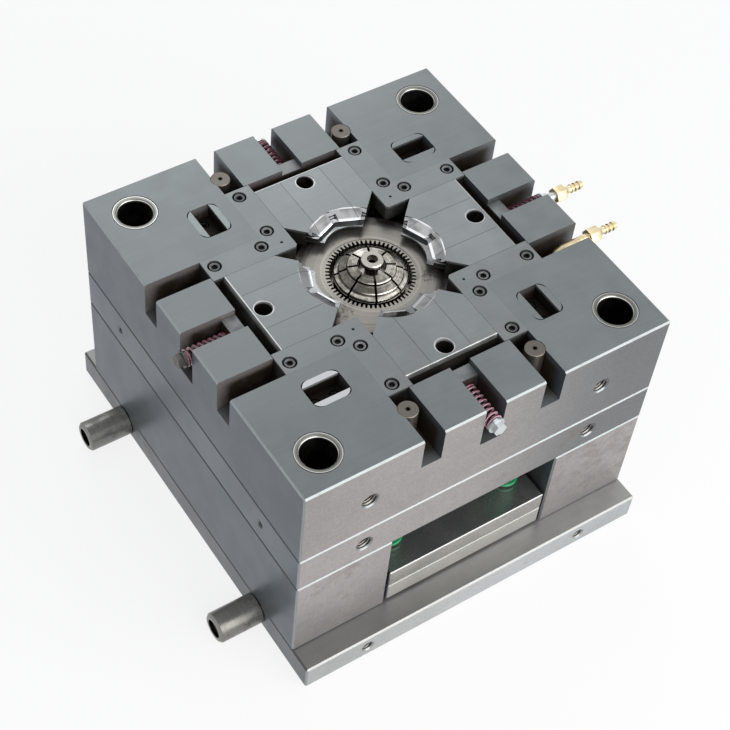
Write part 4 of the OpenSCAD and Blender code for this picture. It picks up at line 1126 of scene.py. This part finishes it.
class MOULD_OT_pin_finish(bpy.types.Operator):
    """Gives the return pins, side legs, rods and screws their finish"""

    bl_idname = "mould.pin_finish"
    bl_label = "Pin and screw finish"

    def execute(self, context):
        finishes = context.scene.mould_finishes
        head_r = 0.011
        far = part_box("return_pins")[1]
        pins = turned_steel(
            "Return Pin Steel", finishes.pin, axis_at=(far.x - head_r, far.y - head_r, 0.0), rings=1100.0,
            metallic=0.7, rough=0.36, stain=(0.10, 0.075, 0.05), eye=0.0024,
        )
        cover_with(pins, "return_pins")
        low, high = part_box("side_legs")
        leg_r = (high.z - low.z) / 2
        legs = lathe_along(
            "Side Leg Steel", (0.225, 0.222, 0.205), 0, metallic=0.7, rough=0.27, rings=900.0, spread=0.16,
            soil_and_shade=0.6, leg_bore=(high.y - leg_r, leg_r, 0.0089),
        )
        cover_with(legs, "side_legs")
        dark_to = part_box("slide_right_spring")[1].x - 0.0004
        zinc = {"colour": (0.62, 0.65, 0.67), "metallic": 0.9, "rough": 0.24, "dark_to": dark_to}
        cover_with(lathe_along("Rod Zinc Across", along=0, **zinc), "slide_right_rod")
        cover_with(lathe_along("Rod Zinc Along", along=1, **zinc), "slide_front_rod", "slide_back_rod")
        bare_and_painted_light = lathe_along("Dark Rod Steel", (0.10, 0.095, 0.09), 0, metallic=0.7, rough=0.34, dark_to=dark_to)
        cover_with(bare_and_painted_light, "slide_left_rod")
        screws = [f"{place}_screws" for place in ("core", "pillar", "base", "ejector", "side_leg")]
        cover_with(dark_oxide("Hidden Screw Oxide"), *screws)
        brass = lathe_along("Pipe Brass", shade(finishes.brass, 0.9), 0, metallic=1.0, rough=0.26, rings=400.0)
        cover_with(brass, "cooling_pipe")
        return {"FINISHED"}


# The stage


def lamp(name, at, target, power, size, colour):
    light = bpy.data.lights.new(name, "AREA")
    light.energy = power
    light.shape = "RECTANGLE"
    light.size, light.size_y = size
    light.color = colour
    holder = bpy.data.objects.new(name, light)
    bpy.context.scene.collection.objects.link(holder)
    aim = Vector(target) - Vector(at)
    holder.matrix_world = Matrix.Translation(Vector(at)) @ aim.to_track_quat("-Z", "Y").to_matrix().to_4x4()


def glow(tree, kind, colour, strength):
    return value_of(tree, kind, {"Color": colour, "Strength": strength})


def white_when_seen(tree, shader, white, share=1.0):
    """Swaps in the white shader, by its share, for rays from the camera, a mirror or glass."""
    path = add(tree, "ShaderNodeLightPath").outputs
    seen = larger(Value(tree, path["Is Camera Ray"]), Value(tree, path["Is Glossy Ray"]))
    seen = larger(seen, Value(tree, path["Is Transmission Ray"]))
    return value_of(tree, "ShaderNodeMixShader", {0: seen * share, 1: shader, 2: white})


class MOULD_OT_stage(bpy.types.Operator):
    """Sets the pale floor, the soft light and the camera"""

    bl_idname = "mould.stage"
    bl_label = "Stage, light and camera"

    def execute(self, context):
        scene = context.scene
        bm = bmesh.new()
        bmesh.ops.create_grid(bm, x_segments=1, y_segments=1, size=6.0)
        bmesh.ops.translate(bm, verts=bm.verts, vec=(0, 0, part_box("clamp_plate")[0].z - 0.0002))
        mesh = bpy.data.meshes.new("floor")
        bm.to_mesh(mesh)
        bm.free()
        floor = bpy.data.objects.new("floor", mesh)
        scene.collection.objects.link(floor)
        mesh.materials.append(self.floor_material())
        self.sky(scene)
        middle = (0.0, 0.0, 0.15)
        for name, at, power, size, colour in (
            ("key_light", (0.45, -1.40, 1.00), 26.0, (2.2, 1.5), (1.0, 0.98, 0.955)),
            ("fill_light", (-1.6, -0.3, 1.3), 1.2, (1.4, 1.4), (0.90, 0.95, 1.0)),
            ("rear_light", (0.55, 1.75, 1.75), 9.0, (1.1, 1.1), (0.95, 0.98, 1.0)),
        ):
            lamp(name, at, middle, power, size, colour)
        self.camera(scene)
        scene.view_settings.view_transform = "Standard"
        return {"FINISHED"}

    def floor_material(self):
        material, tree, shader = new_finish("Pale Floor")
        grain = noise(place(tree), 3.0, 2.0, 0.5)
        colour = blend(grain, (0.93, 0.93, 0.93), (0.97, 0.97, 0.97))
        feed(shader, {"Base Color": colour, "Roughness": 0.9, "Specular IOR Level": 0.1})
        white = glow(tree, "ShaderNodeEmission", (1.0, 1.0, 1.0), 1.0)
        out = next(node for node in tree.nodes if node.type == "OUTPUT_MATERIAL")
        feed(out, {0: white_when_seen(tree, Value(tree, shader.outputs[0]), white, share=0.82)})
        return material

    def sky(self, scene):
        world = bpy.data.worlds.new("Studio")
        scene.world = world
        world.use_nodes = True
        tree = world.node_tree
        tree.nodes.clear()
        soft = glow(tree, "ShaderNodeBackground", (0.94, 0.97, 1.0), 0.50)
        white = glow(tree, "ShaderNodeBackground", (1.0, 1.0, 1.0), 1.0)
        feed(add(tree, "ShaderNodeOutputWorld"), {0: white_when_seen(tree, soft, white)})

    def camera(self, scene):
        lens = bpy.data.cameras.new("photo_camera")
        lens.sensor_width = 36.0
        lens.lens = 82.56
        lens.shift_x = 0.0471
        lens.shift_y = 0.0800
        lens.clip_start = 0.05
        lens.clip_end = 30.0
        holder = bpy.data.objects.new("photo_camera", lens)
        scene.collection.objects.link(holder)
        right = Vector((0.84121, -0.53745, 0.05924))
        up = Vector((0.39846, 0.69023, 0.60400))
        back = -Vector((0.36551, 0.48449, -0.79478))
        turn = Matrix((right, up, back)).transposed().to_4x4()
        holder.matrix_world = Matrix.Translation((-0.58350, -0.73862, 1.25500)) @ turn
        scene.camera = holder


class MOULD_PT_sidebar(bpy.types.Panel):
    """Lists the mould's sizes, finishes and pieces"""

    bl_idname = "MOULD_PT_sidebar"
    bl_label = "Mould"
    bl_space_type = "VIEW_3D"
    bl_region_type = "UI"
    bl_category = "Mould"

    def draw(self, context):
        layout = self.layout
        for group in (context.scene.mould_sizes, context.scene.mould_finishes):
            column = layout.column()
            for name in group.__annotations__:
                column.prop(group, name)
        column = layout.column()
        for operator in OPERATORS:
            column.operator(operator.bl_idname)


OPERATORS = (
    MOULD_OT_base_finish,
    MOULD_OT_slide_finish,
    MOULD_OT_core_finish,
    MOULD_OT_pin_finish,
    MOULD_OT_slide_springs,
    MOULD_OT_return_springs,
    MOULD_OT_lifting_threads,
    MOULD_OT_hose_nipples,
    MOULD_OT_socket_screws,
    MOULD_OT_stage,
)
CLASSES = (MouldSizes, MouldFinishes) + OPERATORS + (MOULD_PT_sidebar,)


def register():
    for each in CLASSES:
        bpy.utils.register_class(each)
    bpy.types.Scene.mould_sizes = PointerProperty(type=MouldSizes)
    bpy.types.Scene.mould_finishes = PointerProperty(type=MouldFinishes)


def unregister():
    del bpy.types.Scene.mould_finishes
    del bpy.types.Scene.mould_sizes
    for each in reversed(CLASSES):
        bpy.utils.unregister_class(each)


def main():
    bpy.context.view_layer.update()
    register()
    for step in (
        bpy.ops.mould.base_finish,
        bpy.ops.mould.slide_finish,
        bpy.ops.mould.core_finish,
        bpy.ops.mould.pin_finish,
        bpy.ops.mould.slide_springs,
        bpy.ops.mould.return_springs,
        bpy.ops.mould.lifting_threads,
        bpy.ops.mould.hose_nipples,
        bpy.ops.mould.socket_screws,
        bpy.ops.mould.stage,
    ):
        if step() != {"FINISHED"}:
            raise RuntimeError(f"{step} didn't finish")


if __name__ == "__main__":
    main()
